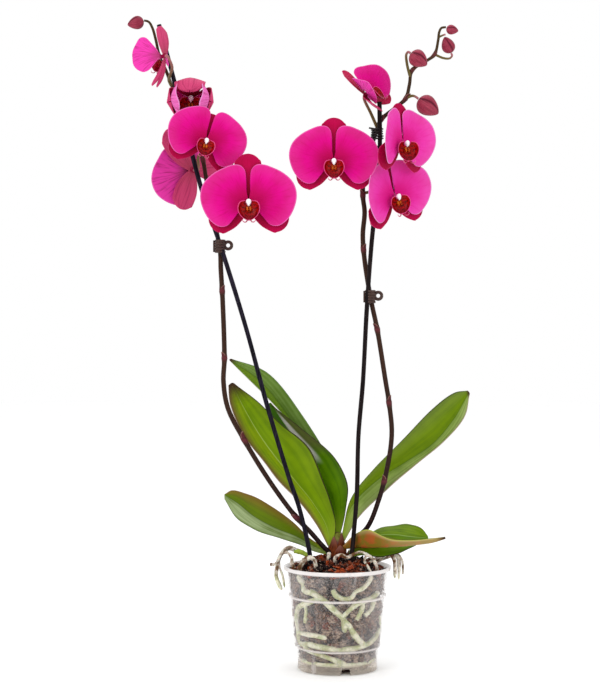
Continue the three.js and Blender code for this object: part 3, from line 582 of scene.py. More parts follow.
# %% Where the roots run
AIR_ROOTS = [
    (2.3, [(-8, -3, 110), (-22, -6, 118), (-37, -8, 129), (-47, -8, 133), (-54, -8, 135), (-61, -8, 130),
           (-65, -8, 123), (-67, -8, 114), (-68, -8, 104), (-65, -8, 95), (-61.5, -8, 88)]),
    (1.2, [(-62, -8, 128), (-64.5, -4, 120), (-64, -3, 112), (-61, -4, 104), (-58.5, -4, 90)]),
    (1.6, [(-65, -8, 121), (-70, -9, 117), (-75, -10, 117)]),
    (1.8, [(-60, -8, 130), (-56, -14, 131), (-51, -19, 126), (-50, -22, 119), (-46, -22, 112)]),
    (2.5, [(-8, -6, 106), (-14, -20, 108), (-21, -30, 112), (-24, -33, 118), (-26, -33, 125),
           (-30, -32, 127.5), (-36, -30, 125), (-41, -28, 118), (-43, -26, 112), (-43, -27, 106)]),
    (2.6, [(-4, -8, 110), (-9, -17, 115), (-10, -18, 124), (-9.5, -17, 132)]),
    (1.7, [(-2, -10, 110), (-3, -22, 119), (-3, -26, 127), (4, -27, 130), (10, -27, 127), (18, -27, 131),
           (25, -27, 133), (31, -28, 130), (29, -30, 124), (33, -32, 117), (36, -34, 110), (36, -36, 108)]),
    (1.8, [(30, -27, 131), (37, -28, 127), (42, -29, 119), (43, -28, 110)]),
    (1.9, [(9, -4, 108), (30, -8, 116), (47, -9, 126), (57, -8, 129), (62.5, -8, 123), (63.8, -8, 112),
           (63.5, -8, 101)]),
    (1.9, [(10, 0, 108), (34, -2, 116), (52, -3, 126), (61, -4, 129), (67, -4, 124), (68.5, -4, 112),
           (68, -4, 99)]),
    (1.4, [(9, 4, 108), (35, 4, 115), (56, 3, 123), (67, 2, 126), (72, 2, 120), (73, 2, 111), (73, 2, 104)]),
    (2.1, [(0, 9, 108), (6, 28, 114), (14, 43, 116), (19, 45, 110), (19, 46, 106)]),
    (2.1, [(-6, 7, 108), (-22, 24, 115), (-34, 36, 114), (-36, 35, 108), (-36, 36, 105)]),
]
WALL_ROOTS = [
    (3.4, [(-58, 107), (-55, 103), (-50, 99), (-49, 92), (-35, 90), (-24, 85), (-14, 79), (-4, 71),
           (6, 63), (8, 58), (9, 47)]),
    (3.1, [(7, 61), (14, 56), (21, 47), (32, 37), (43, 32)]),
    (2.8, [(6, 65), (16, 73), (24, 78), (36, 81), (51, 84), (66, 88)]),
    (2.5, [(-7, 95), (-3, 89), (6, 85), (17, 86), (22, 92), (33, 96), (42, 103), (46, 109)]),
    (2.5, [(25, 61), (32, 71), (35, 81)]),
    (2.6, [(38, 65), (51, 72), (54, 85)]),
    (2.8, [(-24, 85), (-33, 82), (-48, 77), (-66, 70), (-74, 60), (-72, 45), (-51, 43), (-33, 43),
           (-15, 41)]),
    (2.3, [(-47, 78), (-47, 65), (-50, 55)]),
    (3.0, [(-72, 45), (-74, 31), (-47, 32), (-21, 30), (2, 28), (23, 29), (43, 31), (70, 38), (95, 50)]),
    (2.8, [(-59, 32), (-51, 25), (-26, 21), (-4, 16), (13, 11)]),
    (2.6, [(157, 107), (160, 98), (150, 85), (130, 76), (112, 62), (95, 50), (108, 38), (130, 28),
           (150, 11)]),
    (2.6, [(-135, 106), (-130, 96), (-142, 84), (-165, 74), (-178, 60), (-160, 46), (-136, 34),
           (-110, 11)]),
]
RING_ROOT_RADIUS = 2.4
RING_HEIGHT = 10.5
ROOT_HUB = [(0, 96), (9, 98), (12.5, 105), (11.5, 113), (8.5, 118), (0, 118)]
GREEN_TIP = [(-48, -8.5, 131.5), (-42, -9.5, 131), (-37, -11, 129.5), (-32, -12, 126)]


def on_wall(azimuth, height, inset):
    """A point that far inside the pot's inner wall. Azimuth 0 is the front."""
    r = inner_radius(height) - inset
    angle = math.radians(azimuth)
    return Vector((r * math.sin(angle), -r * math.cos(angle), height))


print("roots over the bark:", len(AIR_ROOTS), "and on the wall:", len(WALL_ROOTS))

# %% [markdown]
# Each root is a bar whose thickness wanders, because no real root is even: waves along its length and
# round it, with phases drawn by chance, and a blunt tip. The skin is mottled, silvery brown in the
# air and cream to green below the rim. One fresh tip is bright green. The hub in the middle, where
# all roots start, is a small spun body hidden in the bark.

# %% The roots and their skin
def wandering(radius, seed, taper=0.12):
    """A root's thickness: it swells and thins along its length and narrows to a blunt tip."""
    chance = random.Random(seed)
    phases = [chance.uniform(0, 6.28) for _ in range(3)]  # about a full turn

    def thickness(u, v):
        swell = 0.11 * math.sin(9 * u + phases[0]) + 0.08 * math.sin(23 * u + phases[1])
        swell += 0.07 * math.sin(4 * math.pi * v + phases[2] + 5 * u)
        tip = min(1, (1 - u) / taper) if u < 1 else 0
        return radius * (1 + swell) * math.sqrt(1 - (1 - tip) ** 2)

    return thickness


def root_skin():
    """Silvery velamen with green showing through in patches, and fine rings and pits."""
    finish = Finish("root_skin", Subsurface_Weight=0.12, Subsurface_Scale=0.004)
    patches = finish.noise(110.0, 4.0).step(0.42, 0.6)
    mottle = finish.noise(520.0)
    buried = finish.height().step(0.112, 0.098)
    dry = finish.mix(patches, rgb(240, 232, 216), rgb(112, 80, 52))
    wet = finish.mix(patches, rgb(250, 248, 220), rgb(206, 210, 158))
    specks = mottle.step(0.55, 0.7) * (0.8 - buried * 0.4)
    colour = finish.coats(dry, (buried, wet), (specks, rgb(84, 56, 38)))
    finish.bump(mottle, 0.35, 0.6)
    return finish.done(Base_Color=colour, Roughness=0.55 + mottle * 0.25)


def make_roots():
    bm = new_work()
    for k, (radius, points) in enumerate(AIR_ROOTS):
        add_bar(bm, smooth(points, 8 * len(points)), wandering(radius, k))
    for k, (radius, points) in enumerate(WALL_ROOTS):
        flat = smooth_flat(points, 9 * len(points))
        path = [on_wall(p.x, p.y, 1.2 * radius + 0.2) for p in flat]
        add_bar(bm, path, wandering(radius, 40 + k, 0.05))
    ring = [on_wall(4 * k, RING_HEIGHT, RING_ROOT_RADIUS + 0.9) for k in range(91)]
    add_bar(bm, ring, lambda u, v: RING_ROOT_RADIUS * (1 + 0.07 * math.sin(10 * math.pi * u)))
    add_bar(bm, smooth(GREEN_TIP, 14), wandering(2.6, 77, 0.4), 14, 1)
    spin_profile(bm, ROOT_HUB, 24)
    green_tip = two_tone(
        "growing_tip", lambda finish: finish.noise(700.0), rgb(150, 178, 40), rgb(190, 206, 96), 0.4,
        Subsurface_Weight=0.15, Subsurface_Scale=0.004)
    finish_piece(bm, "root_mass", [root_skin(), green_tip], ["roots"])


make_roots()

# %% [markdown]
# ## Bark
#
# The pot is packed with pine bark: flat, broken chips a centimetre or so long. Against the clear
# wall they lie flat in the gaps between the roots, so chips are dropped on the unrolled wall by
# chance and kept only where no root runs. A second layer lies deeper, behind the roots, over a core
# that is painted nearly black as the shade deep in the pot. On top, chips lie at all angles on a heap
# round the crown. Every chip is a cube with its corners pulled about and its edges bevelled, which
# is a few dozen faces.

# %% Chips of bark
BARK_TOP = 109
HEAP_TOP = 123
HEAP_FALL = 13.5
HEAP_REACH = 49
WALL_CHIPS = 520
WALL_CHIP_INSET = 3.4
DEEP_CHIPS = 380
DEEP_CHIP_INSET = 7.6
TOP_CHIPS = 260
TOP_CHIP_REACH = 48
GOLDEN_ANGLE = 2.399963  # steps of this spread the top chips evenly, as seeds in a sunflower
CHIP_EDGE = 0.45
CHIP_PULL = 0.17
# finish 3 is nearly black: dark bark dust and painted shade for the gaps; half the top chips take it
WALL_SHADES = (0, 0, 0, 0, 2, 2, 1, 3)
TOP_SHADES = (1, 1, 1, 3, 3, 3, 3, 4)


def heap_height(radius):
    """The bark is heaped up round the crown and falls away to the rim."""
    return HEAP_TOP - HEAP_FALL * (radius / HEAP_REACH) ** 2


def add_chip(bm, chance, place, out, size, tilt, shades):
    """One broken chip, flat across the direction out."""
    angles = [chance.uniform(*span) for span in ((0, 2 * math.pi), (-tilt, tilt), (-tilt, tilt))]
    spin, lean_x, lean_y = (Matrix.Rotation(angle, 4, axis) for angle, axis in zip(angles, "ZXY"))
    turn = Vector(out).to_track_quat("Z", "Y").to_matrix().to_4x4()
    matrix = Matrix.Translation(place) @ turn @ (lean_x @ lean_y) @ spin @ Matrix.Diagonal((*size, 1))
    verts = bmesh.ops.create_cube(bm, size=1, matrix=matrix)["verts"]
    pull = CHIP_PULL * size[0]
    for vert in verts:
        vert.co += Vector([chance.uniform(-pull, pull) for _ in range(3)])
    paint(faces_of(verts), chance.choice(shades))


def near_root(azimuth, height, root_places, room):
    """Whether a place on the wall lies on a root or closer to it than this."""
    for a, z, radius in root_places:
        around = abs(math.radians((azimuth - a + 180) % 360 - 180)) * inner_radius(height)
        if max(abs(height - z), around) < room + radius:
            return True
    return False


print("the heap is", heap_height(0) - heap_height(TOP_CHIP_REACH), "mm high")

# %% [markdown]
# Wet bark behind plastic is dark with grey and brown pieces, and a few red ones. On top it is redder,
# with nearly black gaps. So there are five finishes of one kind: a grain of two shades drawn out
# upwards, and pale flecks. The nearly black one is dark bark dust and painted shade: it colours the
# core and the chips that stand for the shaded gaps. Each chip draws its finish by chance, and a
# finish that stands in the list more often comes up more often.

# %% The bark and its finishes
CORE_FOOT = 1.7
CORE_INSET = 8
CORE_COVER = 4.4  # how deep the core lies under the heap


def bark_skin(name, light, dark, scale=260.0):
    finish = Finish(name)
    grain = finish.noise(scale, 5.0, 0.7, stretch=(1, 1, 2.5))
    flecks = finish.noise(480.0)
    colour = finish.coats(
        dark, (grain.step(0.4, 0.62), light), (flecks.step(0.58, 0.64) * 0.6, rgb(216, 188, 170)))
    finish.bump(grain, 1.0, 0.8)
    return finish.done(Base_Color=colour, Roughness=0.75 + grain * 0.2)


def add_wall_chips(bm, chance):
    root_places = [
        (p.x, p.y, radius) for radius, line in WALL_ROOTS for p in smooth_flat(line, 6 * len(line))]
    for _ in range(WALL_CHIPS):
        azimuth, z = chance.uniform(0, 360), chance.uniform(14, BARK_TOP - 3)
        size = (chance.uniform(6, 12), chance.uniform(4, 8), chance.uniform(1.5, 3))
        if not near_root(azimuth, z, root_places, 0.3 * size[0]):
            place = on_wall(azimuth, z, WALL_CHIP_INSET)
            add_chip(bm, chance, place, (place.x, place.y, 0), size, 0.3, WALL_SHADES)
    for _ in range(DEEP_CHIPS):
        azimuth, z = chance.uniform(0, 360), chance.uniform(9, BARK_TOP - 5)
        size = (chance.uniform(7, 14), chance.uniform(5, 9), chance.uniform(2, 4))
        place = on_wall(azimuth, z, DEEP_CHIP_INSET)
        add_chip(bm, chance, place, (place.x, place.y, 0), size, 0.35, WALL_SHADES)


def add_top_chips(bm, chance):
    for k in range(TOP_CHIPS):
        r = TOP_CHIP_REACH * math.sqrt((k + 0.5) / TOP_CHIPS)
        angle = k * GOLDEN_ANGLE
        size = (chance.uniform(7, 13), chance.uniform(5, 9), chance.uniform(2, 4))
        height = heap_height(r) + chance.uniform(-2, 1.6)
        place = Vector((r * math.cos(angle), r * math.sin(angle), height))
        add_chip(bm, chance, place, (0, 0, 1), size, 0.75, TOP_SHADES)


def make_bark():
    chance = random.Random(7)
    bm = new_work()
    add_wall_chips(bm, chance)
    add_top_chips(bm, chance)
    bmesh.ops.bevel(
        bm, geom=bm.edges[:], offset=CHIP_EDGE, offset_type="OFFSET", affect="EDGES",
        segments=1, profile=0.5, material=-1,
    )
    outline = [(inner_radius(z) - CORE_INSET, z) for z in (8, 24, 43, 80, BARK_TOP - 4)]
    heap = [(r, heap_height(r) - CORE_COVER) for r in (40, 26, 13, 0)]
    # the core takes the nearly black finish: painted shade deep in the pot
    spin_profile(bm, [(0, CORE_FOOT), (34, CORE_FOOT), *outline, *heap], 48, material=3)
    finishes = [
        bark_skin("bark_brown", rgb(150, 114, 92), rgb(36, 20, 20)),
        bark_skin("bark_red", rgb(146, 72, 46), rgb(50, 18, 14)),
        bark_skin("bark_grey", rgb(196, 172, 150), rgb(96, 76, 70)),
        # nearly black: dark bark dust and painted shade
        bark_skin("bark_dust_and_shade", rgb(44, 28, 28), rgb(18, 10, 12), 180.0),
        bark_skin("bark_ember", rgb(206, 92, 46), rgb(110, 34, 18)),
    ]
    finish_piece(bm, "bark_chips", finishes, ["bark"], flat=True)


make_bark()

# %% [markdown]
# ## Stakes and spikes
#
# A stake is a dark coated stick, bent a little by the weight of the flowers. A spike is the plant's
# own flowering stem, and carries a joint every few centimetres. Both are lines of points that the
# photograph gives, with depths chosen so that each spike stays just behind its stake.

# %% Where the stakes and spikes run
STAKE_RADIUS = 2.5
SPIKE_RADIUS = 2.7
STALK_RADIUS = 1.5
STAKE_LEFT = [
    (-22, -23, 30), (-26, -21.5, 85), (-31, -20, 131), (-42.5, -20, 181), (-53, -21, 212),
    (-77, -20, 291), (-101, -18, 379), (-126, -16, 460), (-151, -14, 535), (-178, -12, 643),
    (-197, -10, 713),
]
STAKE_RIGHT = [
    (6, -14, 30), (12, -17, 90), (16, -18, 134), (21, -15, 193), (23, -12, 260), (28, -12, 321),
    (32, -12, 398), (37, -12, 468), (46, -12, 566), (46, -12, 628),
]
SPIKE_LEFT = [
    (-8, -7, 129), (-16, -10, 137), (-29, -12, 152), (-46, -13, 170), (-74, -14, 208), (-103, -14, 255),
    (-121, -14, 290), (-126, -14, 319), (-125, -13, 346), (-127, -12, 410), (-129, -9, 443),
    (-130, -8, 465), (-138, -7, 504), (-145, -6, 542), (-149, -5, 565), (-158, -4, 598), (-172, -4, 625),
    (-183, -4, 646), (-190, -3, 664), (-197, -2, 679), (-201, -2, 697), (-205, -2, 711),
    (-209, -2, 717.5), (-214, -2, 719),
]
SPIKE_RIGHT = [
    (7, 3, 134), (19, 3, 144), (33, -2, 157), (46, -6, 189), (55, -8, 224), (60, -8, 262), (57, -7, 296),
    (53, -6, 321), (44, -5, 377), (37, -4, 410), (30, -3, 454), (28, -3, 482), (30, -3, 507),
    (28, -3, 526), (30, -3, 554), (37, -3, 578), (43, -4, 597), (48, -5, 609), (65, -8, 623),
    (75, -10, 632), (79, -10, 647), (82, -10, 663), (97, -8, 673), (107, -6, 681), (111, -6, 697),
    (112, -6, 705), (114.5, -6, 710), (119.5, -6, 711),
]
LEFT_JOINTS = [170, 255, 346, 420, 504, 565, 625, 679]  # the heights of the joints
RIGHT_JOINTS = [209, 296, 377, 466, 526, 578, 609, 632, 663, 681]
STEM_STEPS = 220
print("joints:", len(LEFT_JOINTS), "on the left spike and", len(RIGHT_JOINTS), "on the right one")

# %% [markdown]
# A spike is almost black at the leaves and turns olive brown higher up, with a reddish band at each
# joint. The bands are masks round the joints' heights, so paint and swelling stay together.

# %% The finishes of stems, scales, stakes and stalks
def stem_skin(name, joints):
    """Nearly black at the foot, brown to olive above, with a reddish band at each joint."""
    finish = Finish(name, Coat_Weight=0.08, Coat_Roughness=0.25)
    u, _ = finish.uv()
    height = finish.height()
    bands = sum(1 - (height.away_from(joint * MM) * 210).below(1) for joint in joints)
    streaks = finish.streaks(14.0, 26.0)
    spots = finish.noise(420.0, 3.0)
    colour = finish.coats(
        rgb(32, 13, 18),
        (u.step(0.0, 0.3), rgb(64, 40, 28)),
        (u.step(0.55, 0.95), rgb(82, 62, 32)),
        (streaks.step(0.42, 0.66) * 0.6, rgb(28, 16, 16)),
        (spots.step(0.6, 0.75) * 0.3, rgb(130, 96, 80)),
        (bands * 0.7, rgb(118, 50, 60)),
    )
    finish.bump(streaks, 0.25, 0.5)
    return finish.done(Base_Color=colour, Roughness=0.36 + spots * 0.2)


def scale_skin():
    """The small purple-brown scale at each joint, paler at its edge."""
    finish = Finish("joint_scale")
    u, v = finish.uv()
    edge = u.step(0.75, 1.0) + v.away_from(0.5).step(0.36, 0.5)
    colour = finish.mix(edge.below(1) * 0.75, rgb(92, 44, 48), rgb(176, 136, 120))
    return finish.done(Base_Color=colour, Roughness=0.5)


def stake_skin(name, dark, light):
    """A dark plastic coat over a cane, with long faint streaks."""
    finish = Finish(name)
    streaks = finish.noise(900.0, 3.0, stretch=(1, 1, 0.04))
    colour = finish.mix(streaks.step(0.35, 0.75), dark, light)
    finish.bump(streaks, 0.2, 0.4)
    return finish.done(Base_Color=colour, Roughness=0.4 + streaks * 0.2)


def stalk_skin():
    """A flower's own stalk: green-brown where it leaves the spike, pink at the flower."""
    finish = Finish("stalk_skin", Coat_Weight=0.08)
    u, _ = finish.uv()
    streaks = finish.streaks(5.0, 18.0)
    colour = finish.coats(
        rgb(112, 98, 54),
        (u.step(0.3, 1.0), rgb(196, 116, 130)),
        (streaks.step(0.5, 0.7) * 0.4, rgb(104, 66, 56)),
    )
    return finish.done(Base_Color=colour, Roughness=0.42)


blue_black = stake_skin("blue_black_coat", rgb(12, 10, 17), rgb(46, 40, 58))
brown_black = stake_skin("brown_black_coat", rgb(16, 10, 12), rgb(48, 36, 36))
print("coats for the stakes:", blue_black.name, "and", brown_black.name)

# %% [markdown]
# A stem is one bar whose thickness falls towards the tip and swells at each joint, where a small
# pointed scale wraps half of it: a blade bent round the stem. Each flower and bud has its own stalk,
# which flares where it meets the flower. The stakes can be made at once. The spikes wait until their
# flowers stand, because their stalks lead there.

# %% Stems, scales and stakes
TIP_THINNING = 0.55
JOINT_SWELL = 0.75
JOINT_REACH = 3.2
SCALE_LENGTH = 4.2  # times the stem's radius
SCALE_WRAP = 1.9  # radians to each side
SCALE_FLARE = 0.9
SCALE_DEPTH = 0.45


def stem_radius(path, joints):
    """A stem thins towards its tip and swells at each joint."""
    last = len(path) - 1

    def radius(u, _):
        z = path[round(u * last)].z
        thin = SPIKE_RADIUS * (1 - TIP_THINNING * max(0, u - 0.45) / 0.55)
        return thin + sum(JOINT_SWELL * math.exp(-((z - joint) / JOINT_REACH) ** 2) for joint in joints)

    return radius


def add_joint_scale(bm, path, joint, side, radius):
    """A pointed scale that wraps half the stem just above a joint."""
    i = min(range(len(path)), key=lambda k: abs(path[k].z - joint))
    ahead = (path[min(i + 3, len(path) - 1)] - path[i]).normalized()
    out = Vector((side, -0.5, 0))
    out = (out - ahead * out.dot(ahead)).normalized()
    across = ahead.cross(out)
    length = SCALE_LENGTH * radius
    rows = []
    for a in range(9):
        t = a / 8
        half = SCALE_WRAP * math.sqrt(1 - t ** 1.6)
        flare = radius + SCALE_DEPTH + SCALE_FLARE * t ** 2
        line = []
        for b in range(9):
            angle = half * (b / 4 - 1)
            turn = out * math.cos(angle) + across * math.sin(angle)
            line.append(path[i] + ahead * (t * length - 1.5) + turn * flare)
        rows.append(line)
    add_blade(bm, rows, lambda u, v: SCALE_DEPTH, 1)


def add_stalk(bm, points, radius=STALK_RADIUS, material=2):
    path = smooth(points, 9 * len(points))
    add_bar(bm, path, lambda u, v: radius * (1.25 - 0.35 * u + 0.25 * u ** 6), 10, material)


def make_stake(name, points, coat):
    bm = new_work()
    add_bar(bm, smooth(points, 120), lambda u, v: STAKE_RADIUS * (1 + 0.02 * math.sin(40 * u)), 20)
    finish_piece(bm, name + "_stick", [coat], [name])


make_stake("stake_left", STAKE_LEFT, blue_black)
make_stake("stake_right", STAKE_RIGHT, brown_black)

# %% [markdown]
# ## Ties
#
# Two brown plastic clips hold a spike to a stake: a ribbed sleeve round both, with a small ring to
# squeeze. Near the top of the right stake, a black wire coil does the same job. The sleeve is a
# spun profile whose ribs are modelled, the ring is a closed bar, and the coil is a helix.

# %% Clips and coil
CLIP_RADIUS = 7.2
CLIP_HEIGHT = 15
CLIP_RIBS = 5
CLIP_FLATNESS = 0.86
RING_RADIUS = 3.9
RING_TUBE = 1.8
RING_SINK = 2.2
COIL_RADIUS = 6.1
COIL_HEIGHT = 13
COIL_TURNS = 5


def clip_skin(name, light, dark):
    finish = Finish(name, Coat_Weight=0.3, Coat_Roughness=0.1)
    haze = finish.noise(240.0, 2.0)
    return finish.done(Base_Color=finish.mix(haze, dark, light), Roughness=0.22 + haze * 0.15)


def on_circle(centre, radius, angle):
    """A point of an upright circle that faces the front."""
    return centre + Vector((radius * math.cos(angle), 0, radius * math.sin(angle)))


def make_clip(name, stake_at, spike_at, finish):
    bm = new_work()
    middle = (Vector(stake_at) + Vector(spike_at)) / 2
    profile = [(0, -CLIP_HEIGHT / 2)]
    for k in range(CLIP_RIBS):
        for t, dip in ((0.06, 0.9), (0.2, 0.1), (0.5, 0), (0.8, 0.1), (0.94, 0.9)):
            profile.append((CLIP_RADIUS - dip, CLIP_HEIGHT * ((k + t) / CLIP_RIBS - 0.5)))
    profile.append((0, CLIP_HEIGHT / 2))
    spin_profile(bm, profile, 40)
    bmesh.ops.scale(bm, vec=(CLIP_FLATNESS, 1, 1), verts=bm.verts)
    bmesh.ops.translate(bm, verts=bm.verts, vec=middle)
    centre = middle + Vector((CLIP_RADIUS + RING_RADIUS - RING_SINK, 0, 1))
    ring = [on_circle(centre, RING_RADIUS, 2 * math.pi * k / 40) for k in range(41)]
    add_bar(bm, ring, lambda u, v: RING_TUBE)
    hinge = [middle + Vector((-CLIP_RADIUS + 0.6, -2, z)) for z in (-6.4, -3, 0, 3, 6.4)]
    add_bar(bm, hinge, lambda u, v: 1.1, 10)
    finish_piece(bm, name + "_sleeve", [finish], [name])


def make_coil(name, stake_at, spike_at, finish):
    bm = new_work()
    middle = (Vector(stake_at) + Vector(spike_at)) / 2
    path = []
    for k in range(151):
        t = k / 150
        angle = 2 * math.pi * COIL_TURNS * t + 2.2
        r = COIL_RADIUS + 0.4 * math.sin(7 * t)
        path.append(middle + Vector((r * math.cos(angle), r * math.sin(angle), COIL_HEIGHT * (t - 0.5))))
    ends = [middle + Vector((-8.4, -3.5, -5.4)), *path, middle + Vector((-8.6, 3, 7))]
    add_bar(bm, ends, lambda u, v: 1.0, 10)
    finish_piece(bm, name + "_coil", [finish], [name])


brown_clip = clip_skin("brown_clip", rgb(92, 66, 56), rgb(34, 24, 24))
black_wire = clip_skin("black_wire", rgb(44, 42, 46), rgb(12, 12, 14))
make_clip("clip_left", (-128.5, -16, 469), (-131, -8, 469), brown_clip)
make_clip("clip_right", (34.5, -12, 413.5), (37.5, -4, 413.5), brown_clip)
make_coil("clip_upper", (46, -12, 593), (41, -4, 593), black_wire)

# %% [markdown]
# ## Leaves
#
# A moth orchid's leaves are thick straps, folded along the midrib. Each is held by three lines from
# the crown to the tip: one edge, the midrib and the other edge. Between an edge and the midrib the
# blade bulges a little. It is fleshy along the midrib and thin at the rim.

# %% The leaves' lines
LEAVES = {
    "leaf_back_left": (
        [(2, 6, 147), (2, 18, 190), (-12, 22, 236), (-39, 24, 280), (-78, 26, 328), (-119, 26, 344)],
        [(-2, 6, 145), (-5, 20, 180), (-24, 28, 224), (-53, 33, 276), (-88, 32, 320), (-121, 26, 343)],
        [(-5, 6, 147), (-12, 18, 196), (-34, 24, 246), (-67, 27, 288), (-100, 27, 321), (-120, 26, 341)],
    ),
    "leaf_front_left": (
        [(-4, -4, 140), (-2, -5, 162), (-6, -7, 180), (-15, -8, 207), (-31, -8, 245), (-62, -7, 272),
         (-88, -7, 297), (-113, -6, 316)],
        [(-7, -2, 136), (-12, -1, 158), (-27, 1, 184), (-48, 2, 210), (-68, 2, 234), (-88, 2, 262),
         (-105, 1, 292), (-117, -5, 318)],
        [(-11, -3, 137), (-22, -4, 158), (-40, -6, 183), (-67, -7, 211), (-85, -7, 235), (-106, -7, 263),
         (-119, -7, 295), (-121, -6, 315)],
    ),
    "leaf_middle_left": (
        [(3, 2, 147), (9, 2, 174), (11, 2, 206), (-3, 5, 234), (-42, 10, 268), (-72, 12, 291)],
        [(-1, 3, 147), (-4, 10, 175), (-15, 14, 203), (-32, 16, 233), (-54, 16, 264), (-75, 13, 295)],
        [(-5, 3, 147), (-15, 6, 174), (-30, 9, 198), (-48, 11, 228), (-65, 12, 261), (-77, 12, 293)],
    ),
    "leaf_right": (
        [(8, -2, 142), (22, -3, 166), (54, -1, 198), (85, 1, 225), (119, 1, 253), (142, 2, 281),
         (147, 4, 304)],
        [(5, 1, 145), (16, 6, 179), (45, 11, 208), (78, 13, 229), (107, 11, 249), (130, 8, 277),
         (147, 5, 307)],
        [(6, 3, 146), (15, 7, 188), (42, 13, 222), (75, 15, 255), (106, 13, 288), (132, 8, 307),
         (145, 5, 309)],
    ),
    "leaf_low_right_front": (
        [(6, -7, 137), (16, -10, 148), (25, -17, 155), (35, -27, 157), (48, -33, 152), (59, -36, 147.5),
         (80, -38, 147.5), (100, -38, 149), (116, -38, 151)],
        [(7, -6, 134), (18, -9, 136), (29, -17, 137), (39, -23, 138), (52, -28, 139), (65, -31, 140),
         (84, -33, 142), (103, -36, 145), (117, -38, 149.5)],
        [(10, -3, 136), (19, -3, 146), (30, -9, 150), (41, -15, 151), (54, -20, 149), (67, -24, 147),
         (84, -29, 147), (102, -33, 149), (117, -36.5, 151)],
    ),
    "leaf_low_right_back": (
        [(12, -2, 123), (27, -9, 127), (44, -14, 126), (60, -17, 128), (76, -16, 134), (92, -8, 141),
         (100, -2, 144)],
        [(11, 2, 125), (28, 3, 139), (46, 4, 147), (64, 4, 148), (80, 3, 146), (92, 2, 145), (101, 0, 145)],
        [(10, 6, 127), (28, 12, 142), (46, 17, 153), (65, 20, 157), (81, 20, 158), (95, 11, 154),
         (101, 2, 147)],
    ),
    "leaf_low_left": (
        [(-10, 1, 132), (-28, 1, 143), (-48, 3, 161), (-74, 2, 181), (-97, -2, 193), (-117, -8, 199),
         (-125, -12, 195)],
        [(-11, -1, 129), (-28, -2, 137), (-46, -3, 147), (-68, -5, 156), (-93, -8, 170), (-111, -11, 185),
         (-125, -13, 194)],
        [(-12, -3, 127), (-27, -4, 131), (-44, -9, 140), (-66, -14, 147), (-92, -17, 157), (-112, -18, 170),
         (-125, -14, 190)],
    ),
}
LEAF_STEPS = 96
LEAF_ACROSS = 28
BULGE = 0.64  # a share of the fold's depth
RIPPLE = 0.5


def leaf_net(edge_a, midrib, edge_b):
    lines = [smooth(line, LEAF_STEPS + 1) for line in (edge_a, midrib, edge_b)]
    rows = []
    for i, (a, middle, b) in enumerate(zip(*lines)):
        fold = (a + b) / 2 - middle
        ripple = RIPPLE * math.sin(0.23 * i) * math.sin(math.pi * i / LEAF_STEPS)
        row = []
        for k in range(LEAF_ACROSS + 1):
            across = 2 * k / LEAF_ACROSS - 1
            far = abs(across)
            point = middle.lerp(a if across < 0 else b, far) - fold * (BULGE * far * (1 - far))
            row.append(point + fold.normalized() * (ripple * far ** 3 * (1 if across < 0 else -1)))
        rows.append(row)
    return rows


def leaf_depth(u, v):
    """Fleshy at the midrib and the foot, thin at the rim."""
    across = abs(2 * v - 1)
    return 0.5 + 1.5 * (1 - across ** 2.2) * (1 - 0.4 * u)


print("leaves:", len(LEAVES), "of", LEAF_STEPS * LEAF_ACROSS, "faces on each side")

# %% [markdown]
# The upper face is green with fine veins, darker clouds and a rib, and painted shade in the fold along
# the midrib and towards the edges. The two halves of a leaf catch the light at different angles, and
# one is often greener, so each half gets its own green, edge and blush: partly the leaf's own colour
# and partly painted light. Underneath a leaf is paler, with patches of its deep green. The very edge
# is dark or pale, and some tips are brown. One leaf also has a painted sheen, a pale strip where it
# curls, with a painted shadow beside it.

